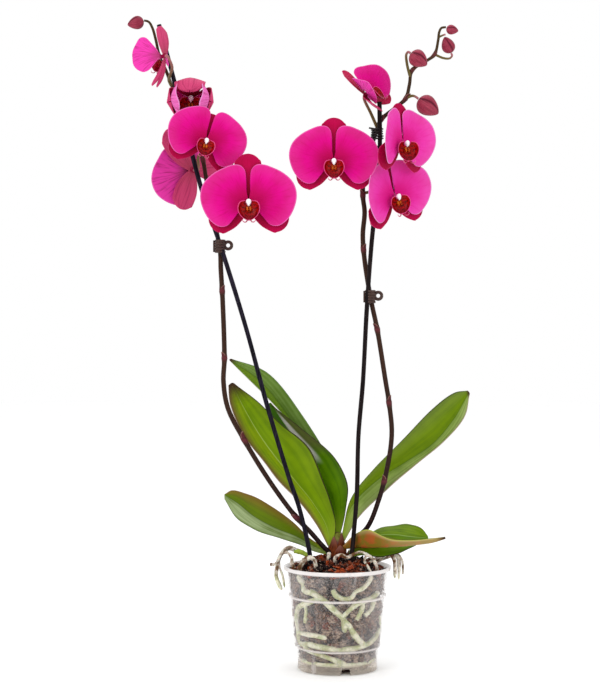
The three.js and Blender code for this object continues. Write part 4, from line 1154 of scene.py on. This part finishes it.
# %% The leaves' finishes
def leaf_skin(name, halves, deep, edges, under=(134, 146, 92), blush_and_shade=(0, 0), tint=(120, 76, 56),
              tip=0.0, rib=(66, 100, 14), painted_sheen=0.0):
    """One leaf's finish. The halves left and right of its midrib have a green, an edge and a blush, which on
    one leaf is painted shade.
    """
    finish = Finish(name, Coat_Weight=0.03, Coat_Roughness=0.25)
    deep, tint = rgb(*deep), rgb(*tint)
    u, v = finish.uv()
    across = v.away_from(0.5) * 2
    half = v.step(0.48, 0.52)
    clouds = finish.noise(30.0, 3.0)
    veins = finish.streaks(4.0, 80.0)
    broad = finish.streaks(1.6, 12.0, 3.0)
    share = (1 - half) * blush_and_shade[0] + half * blush_and_shade[1]
    top = finish.coats(
        # each half's green is partly its own colour and partly painted light
        finish.mix(half, *(rgb(*green) for green in halves)),
        ((clouds.step(0.35, 0.7) * 0.45 + broad.step(0.4, 0.66) * 0.45).below(1), deep),
        (veins.step(0.5, 0.7) * 0.3, deep),
        # painted shade: darker in the fold along the midrib and towards both edges
        (across.step(0.3, 0.0) * 0.35 + across.step(0.75, 1.0) * 0.35, deep),
        (u.step(0.24, 0.02) * 0.6, rgb(164, 190, 50)),
        (across.step(0.35, 1.0) * share, tint),
        (across.step(0.05, 0.0) * 0.7, rgb(*rib)),
    )
    # painted sheen: a pale strip where the leaf curls, with a painted shadow beside it
    if painted_sheen:
        sheen_strip = v.away_from(0.38).step(0.15, 0.05) * u.step(0.54, 0.64) * u.step(0.97, 0.85)
        shadow = v.step(0.4, 0.3) * u.step(0.6, 0.72) * 0.6
        top = finish.coats(top, (shadow, rgb(104, 90, 66)), (sheen_strip * painted_sheen, rgb(222, 220, 214)))
    patches = finish.noise(95.0, 4.0)
    below = finish.coats(
        rgb(*under),
        (veins.step(0.4, 0.7) * 0.25 + patches.step(0.42, 0.6) * 0.65, deep),
        (u.step(0.4, 0.85) * 0.55 + across.step(0.75, 0.98) * 0.6, tint),
    )
    colour = finish.coats(
        below,
        (finish.upper().step(0.2, 0.8), top),
        (u.step(1.0 - 0.16 * tip, 1.0) * (1.0 if tip else 0.0), rgb(70, 46, 30)),
        (across.step(0.95, 0.985) * 0.9, finish.mix(half, *(rgb(*edge) for edge in edges))),
    )
    finish.bump(veins * 0.5 + broad * 0.5 - across.step(0.07, 0.0) * 0.8, 0.4, 0.6)
    return finish.done(Base_Color=colour, Roughness=0.3 + clouds * 0.18)


DARK = (44, 34, 22)
leaf_skins = {
    "leaf_back_left": leaf_skin(
        "leaf_pale", ((132, 164, 80), (122, 156, 30)), (90, 124, 30), ((92, 124, 70), (222, 226, 204)),
        tip=0.35),
    "leaf_front_left": leaf_skin(
        "leaf_bright", ((132, 166, 0), (150, 174, 4)), (98, 134, 0), (DARK, (206, 176, 166)),
        blush_and_shade=(0.1, 0.75), tip=0.9, rib=(176, 196, 92)),
    # this leaf's dark blush is painted shade towards the edge of one half
    "leaf_middle_left": leaf_skin(
        "leaf_deep", ((104, 152, 4), (48, 96, 0)), (62, 108, 0), (DARK, DARK),
        blush_and_shade=(0.25, 0), tint=DARK, painted_sheen=0.9),
    "leaf_right": leaf_skin(
        "leaf_fresh", ((152, 176, 90), (116, 146, 0)), (88, 118, 0), ((206, 176, 168), (70, 84, 34)),
        blush_and_shade=(0.2, 0.1), tint=(176, 168, 140), tip=0.2),
    "leaf_low_right_front": leaf_skin(
        "leaf_bronze", ((150, 168, 60), (138, 160, 50)), (112, 116, 26), ((190, 200, 84), (84, 84, 30)),
        under=(176, 92, 40), tint=(196, 172, 116), tip=0.6),
    "leaf_low_right_back": leaf_skin(
        "leaf_lower", ((104, 142, 0), (120, 152, 4)), (68, 100, 0), (DARK, (140, 130, 60)),
        under=(92, 124, 44), rib=(150, 180, 90)),
    "leaf_low_left": leaf_skin(
        "leaf_olive", ((106, 132, 6), (176, 194, 142)), (88, 112, 18), ((150, 100, 60), (60, 84, 30)),
        blush_and_shade=(0.55, 0), tint=(150, 96, 50), rib=(52, 78, 14)),
}


def make_leaves():
    for name, lines in LEAVES.items():
        bm = new_work()
        add_blade(bm, leaf_net(*lines), leaf_depth)
        finish_piece(bm, name + "_blade", [leaf_skins[name]], [name])


make_leaves()

# %% [markdown]
# ## Crown
#
# The leaves grow from a short stem wrapped in the dry sheaths of older leaves. The core is spun from
# a profile. Round it stand seven sheaths, each a blade wrapped part of the way round and pointed at
# the top, red-brown with paler streaks. A sheath is given by its azimuth, foot, height and radius.

# %% The crown and its sheaths
CROWN_PROFILE = [
    (0, 118.3), (8.5, 118.3), (10, 121), (10.6, 125), (9.6, 132), (7, 141), (4.6, 149), (2.4, 151.5),
    (0, 152),
]
SHEATHS = [(-70, 118.6, 15, 11.6), (14, 118.6, 20, 11.4), (85, 118.6, 15, 11.8), (165, 118.6, 20, 11.4),
           (-28, 121, 27, 10.6), (40, 124, 28, 9.8), (-110, 122, 24, 10.4)]
SHEATH_HALF = 58  # degrees, from a sheath's middle to its edge at the foot


def sheath_skin():
    finish = Finish("dry_sheath")
    u, v = finish.uv()
    streaks = finish.streaks(2.5, 34.0)
    colour = finish.coats(
        rgb(78, 30, 16),
        (streaks.step(0.38, 0.66), rgb(158, 78, 34)),
        (u.step(0.5, 0.95) * 0.6, rgb(150, 104, 96)),
        (v.away_from(0.5).step(0.42, 0.5) * 0.6, rgb(86, 44, 34)),
    )
    finish.bump(streaks, 0.4, 0.8)
    return finish.done(Base_Color=colour, Roughness=0.6)


def crown_skin():
    finish = Finish("crown_skin")
    height = finish.height()
    blotches = finish.noise(260.0, 4.0, stretch=(1, 1, 0.4))
    colour = finish.coats(
        rgb(92, 40, 20),
        (height.step(0.126, 0.138), rgb(140, 84, 88)),
        (height.step(0.139, 0.149), rgb(136, 152, 50)),
        (blotches.step(0.45, 0.65) * 0.6, rgb(92, 46, 50)),
    )
    finish.bump(blotches, 0.6, 0.6)
    return finish.done(Base_Color=colour, Roughness=0.5)


def make_crown():
    bm = new_work()
    spin_profile(bm, CROWN_PROFILE, 32)
    for azimuth, foot, height, radius in SHEATHS:
        rows = []
        for a in range(13):
            t = a / 12
            half = SHEATH_HALF * (1 - t) ** 0.8 * (1 + 0.25 * t) + 1
            z = foot + height * t
            r = radius - 2.2 * max(0, (z - 132) / 9) + 0.25 + 1.6 * t ** 3
            centre = Vector((0, 0, z))
            rows.append([centre + turned((0, -r, 0), azimuth + half * (b / 6 - 1)) for b in range(13)])
        add_blade(bm, rows, lambda u, v: 0.5, 1)
    finish_piece(bm, "crown_sheaths", [crown_skin(), sheath_skin()], ["crown"])


make_crown()

# %% [markdown]
# ## Flowers
#
# A moth orchid's flower has five coloured parts behind its lip: two broad petals at the sides, and
# three narrower sepals behind them, one up and two down. Every flower is built in the same small
# frame, facing +Z with its upper sepal towards +Y, and then turned to its place. A petal's outline
# is a few points seen from its claw, each an angle and a reach, and a fan of rings fills it. The cup
# bends a petal forward, the droop lowers it, the spread narrows it and the bowl draws its top and
# bottom in, so that one flower is wide open and another still a cup.

# %% Petals and sepals
PETAL_OUTLINE = [
    (-40, 8), (-48, 18), (-52, 30), (-44, 38.5), (-28, 44), (-8, 48), (10, 51), (24, 51), (40, 48), (56, 45),
    (71, 43.5), (82, 41), (89, 35), (92, 24), (94, 10)]
PETAL_LENGTH = 55
PETAL_ARCH = 2.2
PETAL_WAVE = 1.1
PETAL_RUFFLE = 0.55
PETAL_CREASE = 0.8
CLAW = 3
SEPAL_LENGTH = 49
SEPAL_WIDTHS = [
    (0, 3), (0.15, 8), (0.36, 13.2), (0.6, 15.5), (0.78, 15), (0.89, 12), (0.95, 8.6), (0.985, 4.8), (1, 0.5)]
PETAL_RINGS = 30
PETAL_RAYS = 60
SEPAL_STEPS = 36
SEPAL_ACROSS = 16
SEPAL_ARCH = 3


def bent(distance, bend):
    """How far out and how far forward a point lies that far along an arc of this bend for each mm."""
    bend = max(bend, 1e-4)
    return math.sin(distance * bend) / bend, (1 - math.cos(distance * bend)) / bend


def petal_net(side, flower):
    size, spread = flower["size"], flower["spread"]
    bend = math.radians(flower["cup"]) / (PETAL_LENGTH * size)
    outline = smooth_flat(PETAL_OUTLINE, PETAL_RAYS + 1)
    rows = []
    for i in range(PETAL_RINGS + 1):
        ring = 0.05 + 0.95 * (i / PETAL_RINGS) ** 0.85
        row = []
        for k, ray in enumerate(outline):
            angle = math.radians(ray.x * spread - flower["droop"])
            reach = ray.y * ring * size * (flower["left_petal"] if side < 0 else 1)
            out, forward = bent(CLAW * size * min(1, 2.4 * ring) + reach * math.cos(angle), bend)
            arch = PETAL_ARCH * size * (ring - 1.6 * ring ** 2)
            arch += PETAL_WAVE * size * ring * math.sin(3 * angle)
            ruffle = PETAL_RUFFLE * size * ring ** 4 * math.sin(0.55 * k + 2 * side)
            crease = -PETAL_CREASE * size * math.exp(-(math.degrees(angle) / 6) ** 2) * ring * (1 - ring)
            up = 1 + reach * math.sin(angle)
            out /= 1 + (up / flower["bowl"]) ** 2
            row.append(Vector((side * out, up, 2.4 + arch + ruffle + crease + forward)))
        rows.append(row if side > 0 else row[::-1])
    return rows


def sepal_net(direction, curl, length, wide, hollow, size):
    length *= SEPAL_LENGTH * size
    bend = math.radians(curl) / length
    widths = smooth_flat(SEPAL_WIDTHS, SEPAL_STEPS + 1)
    rows = []
    for width in widths:
        t = min(max(width.x, 0), 1)
        out, forward = bent(t * length, bend)
        row = []
        for k in range(SEPAL_ACROSS + 1):
            edge = 2 * k / SEPAL_ACROSS - 1
            lift = hollow * size * abs(edge) ** 1.5 * t - SEPAL_ARCH * size * t ** 2
            turn = t * length * bend
            side = edge * width.y * size * wide
            point = turned((out - lift * math.sin(turn), side, forward + lift * math.cos(turn)), direction)
            row.append(point + Vector((0, 0.5, -1.4)))
        rows.append(row)
    return rows


def petal_depth(u, v):
    return 0.35 + 0.65 * (1 - u) ** 0.7


def sepal_depth(u, v):
    return 0.35 + 0.7 * (1 - abs(2 * v - 1) ** 2) * (1 - 0.6 * u)


print("an arc of 10 mm that bends 90 degrees reaches", round(bent(10, math.pi / 20)[0], 1), "mm out")

# %% [markdown]
# A petal's colour is a hot magenta that deepens to crimson at the claw, with fine darker veins that
# fan out from it and a pale pink rim less than a millimetre wide, partly the petal's own paler margin
# and partly a painted highlight along its edge. Its back is paler, with darker veins. The sepals are
# redder and darker. Very little gloss gives the velvet look. Some flowers face the light more and are
# lighter, so there are two finishes for petals, and the lighter one is painted light.

# %% The colours of the flower
def petal_skin(name, face, deep, back, rim, rays=46.0, rim_width=0.045):
    finish = Finish(name)
    u, v = finish.uv()
    veins = finish.streaks(1.6, rays)
    fine = finish.streaks(4.0, 3.2 * rays, 5.0)
    clouds = finish.noise(42.0, 2.0)
    front = finish.coats(
        face,
        (u.step(0.6, 0.02), deep),
        (clouds.step(0.35, 0.7) * 0.4, deep),
        (u.step(0.5, 1.0) * 0.1, rim),
        (veins.step(0.5, 0.72) * 0.4 + fine.step(0.5, 0.75) * 0.2, deep),
    )
    border = (1 - u).below((0.5 - v.away_from(0.5)) * 1.3)
    colour = finish.coats(
        back,
        (veins.step(0.46, 0.66) * 0.6, rgb(160, 34, 84)),
        (u.step(0.4, 0.0) * 0.6, rgb(158, 70, 80)),
        (finish.upper().step(0.3, 0.7), front),
        # the pale rim: partly the petal's own margin, partly a painted highlight along its edge
        (border.step(rim_width, 0.0) * 0.8, rim),
    )
    finish.bump(veins * 0.6 + fine * 0.3 + clouds * 0.5, 0.4, 0.5)
    return finish.done(Base_Color=colour, Roughness=0.48 + fine * 0.12)


CAP_WHITE = (0.95, 0.9, 0.93, 1)
warm_petal = petal_skin(
    "petal_magenta", rgb(238, 4, 148), rgb(196, 0, 86), rgb(252, 66, 184), rgb(255, 130, 205))
# painted light: a lighter copy of the petal finish for flowers that face the light
lit_petal = petal_skin(
    "petal_lit", rgb(252, 60, 184), rgb(232, 14, 136), rgb(250, 116, 200), rgb(255, 180, 236))
warm_sepal = petal_skin(
    "sepal_red", rgb(200, 0, 78), rgb(144, 0, 38), rgb(220, 74, 124), rgb(236, 60, 130), 16.0, 0.03)
column = two_tone(
    "column_skin", lambda finish: finish.uv()[0].step(0.2, 0.8), rgb(150, 4, 60), rgb(236, 90, 176), 0.4,
    Coat_Weight=0.05)
anther_cap = two_tone(
    "anther_cap", lambda finish: finish.uv()[0].step(0.25, 0.02), CAP_WHITE, rgb(246, 176, 232), 0.35,
    Coat_Weight=0.3)
print("finishes of a flower:", warm_petal.name, lit_petal.name, warm_sepal.name)

# %% [markdown]
# The lip is a third petal of another kind. It hangs under the column like a scoop, with two lobes
# that stand up at its sides and a pointed lobe in front that ends in two thin tendrils. It is held by
# six rows of points from claw to tip, each given from the right edge to the middle and mirrored.
# Where the lobes meet sits a small waxy orange crest with red spots.

# %% The lip
LIP_ROWS = [
    [(4, 2.4, 12.5), (3.2, -1, 10), (0, -2.8, 7.8)],
    [(9.5, 0.8, 15.5), (6.5, -3, 11), (0, -5.8, 8.6)],
    [(12, -5, 17), (8.5, -6.8, 11.6), (0, -9.2, 9.6)],
    [(11.2, -11, 16.8), (7.4, -12, 12.4), (0, -13, 11.2)],
    [(8.2, -15.6, 16.4), (5, -16.4, 14), (0, -17, 13)],
    [(4, -18.8, 17), (2.2, -19.6, 16), (0, -20, 15.6)],
]
TENDRIL = [(1.8, -19.4, 16), (3, -21.4, 17.4), (5.2, -21.8, 19), (7, -20, 20), (6.4, -18.2, 19.2)]
TENDRIL_RADIUS = 0.62
CREST = [(0, -5.4, 9.8), (0, -7, 11.8), (0, -9.4, 13)]
CREST_RADIUS = 1.5
CREST_SIDE = 1.6
LIP_AXIS = 7


def lip_skin():
    """Crimson, orange and veined near the crest, almost maroon at the tip, pale pink at the rim."""
    finish = Finish("lip_skin", Coat_Weight=0.08, Coat_Roughness=0.2)
    u, v = finish.uv()
    across = v.away_from(0.5) * 2
    veins = finish.streaks(9.0, 12.0, 2.0)
    stripes = finish.noise(620.0, 2.0)
    border = (1 - across).below((1 - u) * 1.4)
    colour = finish.coats(
        rgb(176, 6, 10),
        (u.step(0.45, 0.85), rgb(150, 0, 28)),
        (across.step(0.3, 0.0) * u.step(0.55, 0.3) * 0.7, rgb(204, 74, 16)),
        (veins.step(0.46, 0.58) * 0.8, rgb(72, 0, 8)),
        (stripes.step(0.6, 0.7) * 0.35, rgb(226, 50, 30)),
        (finish.upper().step(0.4, 0.6) * 0.2, rgb(196, 4, 70)),
        (border.step(0.1, 0.02) * 0.85, rgb(255, 92, 160)),
    )
    finish.bump(veins, 0.3, 0.5)
    return finish.done(Base_Color=colour, Roughness=0.34)


crest = two_tone(
    "crest_skin", lambda finish: finish.noise(900.0, 1.0).step(0.5, 0.58), rgb(214, 104, 24),
    rgb(140, 10, 16), 0.3, Coat_Weight=0.1)
tendril = two_tone("tendril_skin", lambda finish: finish.uv()[0], rgb(168, 16, 60), rgb(246, 130, 170), 0.4)
lip_finishes = [lip_skin(), crest, tendril]


def lip_shift(flower):
    """What moves a point of the open lip to this flower's size and turn about the column."""
    scale = flower["size"] * flower["lip"]
    axis = Vector((0, 0, LIP_AXIS))
    turn = Matrix.Rotation(math.radians(flower["lip_turn"]), 3, "Y")
    return lambda x, y, z: axis + turn @ (Vector((x, y, z)) * scale - axis)


def make_lip(flower, to_plant):
    bm = new_work()
    shift = lip_shift(flower)
    rows = [[shift(*p) for p in row] + [shift(-x, y, z) for x, y, z in row[-2::-1]] for row in LIP_ROWS]
    add_blade(bm, net(list(zip(*rows)), 30, 28), lambda u, v: 0.7 - 0.3 * abs(2 * v - 1))
    for side in (-1, 1):
        path = smooth([shift(side * x, y, z) for x, y, z in TENDRIL], 30)
        add_bar(bm, path, lambda u, v: TENDRIL_RADIUS * (1 - u ** 3) * flower["size"] + 0.02, 8, 2)
        bump = smooth([shift(side * CREST_SIDE + x, y, z) for x, y, z in CREST], 12)
        add_bar(bm, bump, lambda u, v: CREST_RADIUS * flower["size"] * math.sqrt(1 - u ** 3) + 0.01, 10, 1)
    bmesh.ops.transform(bm, matrix=to_plant, verts=bm.verts)
    return bm


print("rows of the lip:", len(LIP_ROWS))

# %% [markdown]
# The flowers' places, turns and sizes follow the photograph. Azimuth turns a face from the front
# towards +X, elevation lifts it, and roll turns it about its own axis. A sepal is given by its curl
# in degrees, its length and width against the usual, and how far its edges stand forward.

# %% Where the flowers stand
def flower_at(hub, azimuth, elevation, roll, size, **facts):
    usual = {"cup": 8, "droop": 0, "spread": 1, "bowl": 400, "left_petal": 1, "lip": 1, "lip_turn": 0,
             "stalk": 12, "upper": (0, 1, 1, 1.6), "lower": (0, 1, 1, 1.6), "drop": 0}
    return {"hub": Vector(hub), "azimuth": azimuth, "elevation": elevation, "roll": roll, "size": size,
            **usual, **facts}


FLOWERS = {
    "flower_left_low": flower_at((-97, -56.5, 514), 2, 0, 1, 0.98, upper=(0, 1.1, 1, 1.6)),
    "flower_left_middle": flower_at((-144, -47, 581.5), 12, -4, -16, 0.83, upper=(0, 0.74, 1, 1.6)),
    "flower_left_back": flower_at(
        (-163, 33, 556), 216, 0, -40, 0.95, cup=16, upper=(0, 1.2, 1, 1.6), lower=(10, 1, 1, 1.6)),
    "flower_left_opening": flower_at(
        (-161, -15, 630.5), 0, -4, 0, 0.98, cup=150, droop=17, spread=0.46, bowl=24, lip=1.1, stalk=8,
        upper=(160, 1.2, 1.12, 8), lower=(96, 0.8, 1.04, 5), drop=-20),
    "flower_left_top": flower_at(
        (-190, -36, 674), -130, -8, 7, 0.72, cup=110, droop=14, spread=0.7, left_petal=0.45, stalk=5,
        upper=(20, 1, 0.8, 1.6), lower=(60, 1, 0.26, 1.6), drop=52),
    "flower_right_front": flower_at((-5, -48.5, 559), 0, -3, 0, 0.915, upper=(0, 1.05, 1, 1.6)),
    "flower_right_upper": flower_at(
        (68, -38.9, 579), 50, 0, 0, 0.9, cup=32, lip=1.1, lip_turn=-35, lower=(5, 1, 1, 1.6)),
    "flower_right_lower": flower_at(
        (61, -18, 522.5), 40, 0, 12, 0.93, cup=28, lip_turn=-25, lower=(10, 1, 1, 1.6)),
    "flower_right_top": flower_at(
        (32.5, -9, 636), 60, 36, 24, 0.76, cup=84, spread=0.84, left_petal=0.8, stalk=5,
        upper=(0, 1, 1, 1.6), lower=(40, 1, 1, 1.6)),
}
# these flowers face the light more and get the lighter, painted-light petal finish
LIT_FLOWERS = ("flower_right_upper", "flower_right_lower", "flower_left_opening")
print("flowers:", len(FLOWERS))

# %% [markdown]
# In front of the petals stands the column, a short thick bar that ends in a white cap. Petals,
# sepals and column grow together, so they are one piece, and the lip is another. Both are moved to
# their place by one matrix, whose columns are the flower's right, its up and the way that it faces.

# %% The flowers
HUB_BACK = 3
COLUMN_TIP = 9.5
ANTHER_CAP = [(0, 3, 8), (0, 1.2, 9.6), (0, -1.4, 10.2), (0, -4.4, 9.4)]
SEPAL_UP, SEPAL_LEFT, SEPAL_RIGHT = 90, 211, -31  # degrees


def facing(flower):
    a, e = math.radians(flower["azimuth"]), math.radians(flower["elevation"])
    return Vector((math.sin(a) * math.cos(e), -math.cos(a) * math.cos(e), math.sin(e)))


def flower_matrix(flower):
    face = facing(flower)
    right = Vector((0, 0, 1)).cross(face).normalized()
    basis = Matrix((right, face.cross(right), face)).transposed().to_4x4()
    return Matrix.Translation(flower["hub"]) @ basis @ Matrix.Rotation(math.radians(flower["roll"]), 4, "Z")


def make_flower(name, flower):
    to_plant = flower_matrix(flower)
    size = flower["size"]
    bm = new_work()
    for side in (-1, 1):
        add_blade(bm, petal_net(side, flower), petal_depth, 0)
    lower, drop = flower["lower"], flower["drop"]
    shapes = ((SEPAL_UP, flower["upper"]), (SEPAL_LEFT + drop, lower), (SEPAL_RIGHT - drop, lower))
    for direction, shape in shapes:
        add_blade(bm, sepal_net(direction, *shape, size), sepal_depth, 1)
    tip = COLUMN_TIP * size
    spine = smooth([(0, 1, -HUB_BACK), (0, 0.9, 2), (0, 0.5, 0.7 * tip), (0, 0, tip)], 30)
    add_bar(bm, spine, lambda u, v: size * (3.6 - 1.5 * u) * math.sqrt(1 - u ** 8) + 0.01, 14, 2)
    cap = smooth([Vector(p) * size for p in ANTHER_CAP], 24)
    add_bar(bm, cap, lambda u, v: 3 * size * math.sin(math.pi * u ** 0.62) ** 0.8 + 0.01, 14, 3)
    bmesh.ops.transform(bm, matrix=to_plant, verts=bm.verts)
    petal = lit_petal if name in LIT_FLOWERS else warm_petal
    finish_piece(bm, name + "_petals", [petal, warm_sepal, column, anther_cap], [name + "_tepals"])
    finish_piece(make_lip(flower, to_plant), name + "_throat", lip_finishes, [name + "_lip"])


for flower_name, flower_facts in FLOWERS.items():
    make_flower(flower_name, flower_facts)

# %% [markdown]
# ## Spikes with their stalks
#
# With the flowers in place, each stalk can be led from the spike to the back of its flower. The
# stalk's last two points lie on the flower's own axis, so that it meets the hub squarely. The stalks
# of the buds are given in full, with their radii.

# %% The spikes
GAP = 0.3  # between a stalk's end and what it carries, so that their faces don't meet
LEFT_STALKS = {
    "flower_left_low": [(-143, -7, 525), (-128, -24, 528)],
    "flower_left_middle": [(-150, -5, 572), (-147, -15, 583)],
    "flower_left_back": [(-150, -5, 572), (-155, 10, 569)],
    "flower_left_opening": [(-171, -4, 624), (-165, -4, 628)],
    "flower_left_top": [(-184, -4, 647), (-186, -12, 652), (-184, -22, 656), (-181, -34, 664)],
}
RIGHT_STALKS = {
    "flower_right_front": [(29, -3, 545), (14, -16, 553)],
    "flower_right_upper": [(36, -3, 576), (47, -2, 580)],
    "flower_right_lower": [(28, -3, 528), (42, 0, 530)],
    "flower_right_top": [(44, -4, 600), (37, -3, 616)],
}
BUD_STALKS = [
    (1.3, [(75, -10, 632), (82, -13, 634.5), (86, -15, 633), (88.5, -15, 631)]),
    (1.3, [(80, -10, 655), (76, -16, 669), (75, -20, 679), (77, -21, 681.5), (79.5, -21, 680)]),
    (1.1, [(107, -6, 681), (117, -5, 677), (124, -4, 677), (126.5, -4, 680), (125.5, -4, 682.5)]),
    (1.0, [(111.5, -6, 700), (116, -6, 702), (119, -6, 703)]),
]


joint_scale_skin, green_stalk_skin = scale_skin(), stalk_skin()


def make_spike(name, points, joints, stalks, bud_stalks=()):
    bm = new_work()
    path = smooth(points, STEM_STEPS)
    radius = stem_radius(path, joints)
    add_bar(bm, path, radius, 14)
    for k, joint in enumerate(joints):
        add_joint_scale(bm, path, joint, 1 if k % 2 else -1, radius(k / len(joints), 0) - 0.6)
    for flower_name, start in stalks.items():
        flower = FLOWERS[flower_name]
        back = [flower["hub"] - facing(flower) * reach for reach in (flower["stalk"], HUB_BACK + GAP)]
        add_stalk(bm, [*start, *back])
    for stalk_radius, bends in bud_stalks:
        add_stalk(bm, bends, stalk_radius)
    finishes = [stem_skin(name + "_skin", joints), joint_scale_skin, green_stalk_skin]
    finish_piece(bm, name + "_stem", finishes, [name])


make_spike("spike_left", SPIKE_LEFT, LEFT_JOINTS, LEFT_STALKS)
make_spike("spike_right", SPIKE_RIGHT, RIGHT_JOINTS, RIGHT_STALKS, BUD_STALKS)

# %% [markdown]
# ## Buds
#
# A bud is a closed flower: three sepals folded over each other, so its round has three soft seams and
# it ends in a blunt beak. It is a bar with a straight path whose thickness draws the whole shape. The
# same sum of u and v places the seams in the shape and their painted shade in the finish.

# %% The buds
SEAMS = 3
SEAM_TWIST = 0.35
BUD_STEPS = 40
BUDS = {  # the stalk's end, the direction, the length and the radius
    "bud_left_tip": ((-214, -2, 718.5), (-1, 0, -0.24), 18.4, 7.8),
    "bud_right_large": ((88.5, -15, 631), (0.8, 0, -0.6), 27, 12),
    "bud_right_second": ((79.5, -21, 680.5), (0.8, 0, -0.6), 22, 10.4),
    "bud_right_third": ((125.5, -4, 682.5), (-0.37, 0, 0.93), 19, 8),
    "bud_right_tip": ((119.5, -6, 709.5), (1, 0, -0.2), 13.5, 5.8),
}


def bud_skin():
    """Dusty mauve with lengthwise veins, and painted shade in the seams."""
    finish = Finish("bud_skin", Coat_Weight=0.1, Coat_Roughness=0.3)
    u, v = finish.uv()
    veins = finish.streaks(2.5, 44.0)
    clouds = finish.noise(80.0, 2.0)
    turn = v * SEAMS + u * SEAM_TWIST
    seam = (turn.maths("PINGPONG", turn, 0.5) * 2).step(0.22, 0.0)
    colour = finish.coats(
        rgb(144, 36, 62),
        (clouds, rgb(190, 80, 102)),
        (veins.step(0.46, 0.62) * 0.6, rgb(112, 26, 50)),
        # painted shade: dark in the seams where the sepals fold over
        (seam * 0.9, rgb(86, 8, 34)),
        (u.step(0.14, 0.0) * 0.6, rgb(120, 90, 56)),
    )
    finish.bump(veins * 0.4 - seam, 0.6, 0.8)
    return finish.done(Base_Color=colour, Roughness=0.5)


def bud_radius(radius):
    def shape(u, v):
        body = math.sin(math.pi * min(1, u ** 0.8)) ** 0.62 * (1 - 0.18 * u)
        seam = abs(((SEAMS * v + SEAM_TWIST * u) % 1) - 0.5) * 2
        return radius * body * (1.02 - 0.07 * (1 - seam) ** 3) + 0.01

    return shape


def make_buds():
    finish = bud_skin()
    for name, (end, toward, length, radius) in BUDS.items():
        bm = new_work()
        axis = Vector(toward).normalized()
        start = Vector(end) + axis * (1.5 * GAP)
        shares = [(1 - math.cos(math.pi * k / BUD_STEPS)) / 2 for k in range(BUD_STEPS + 1)]
        path = [start + axis * (length * share) for share in shares]
        shape = bud_radius(radius)
        add_bar(bm, path, lambda u, v: shape(shares[round(u * BUD_STEPS)], v), 48)
        finish_piece(bm, name + "_skin", [finish], [name])


make_buds()
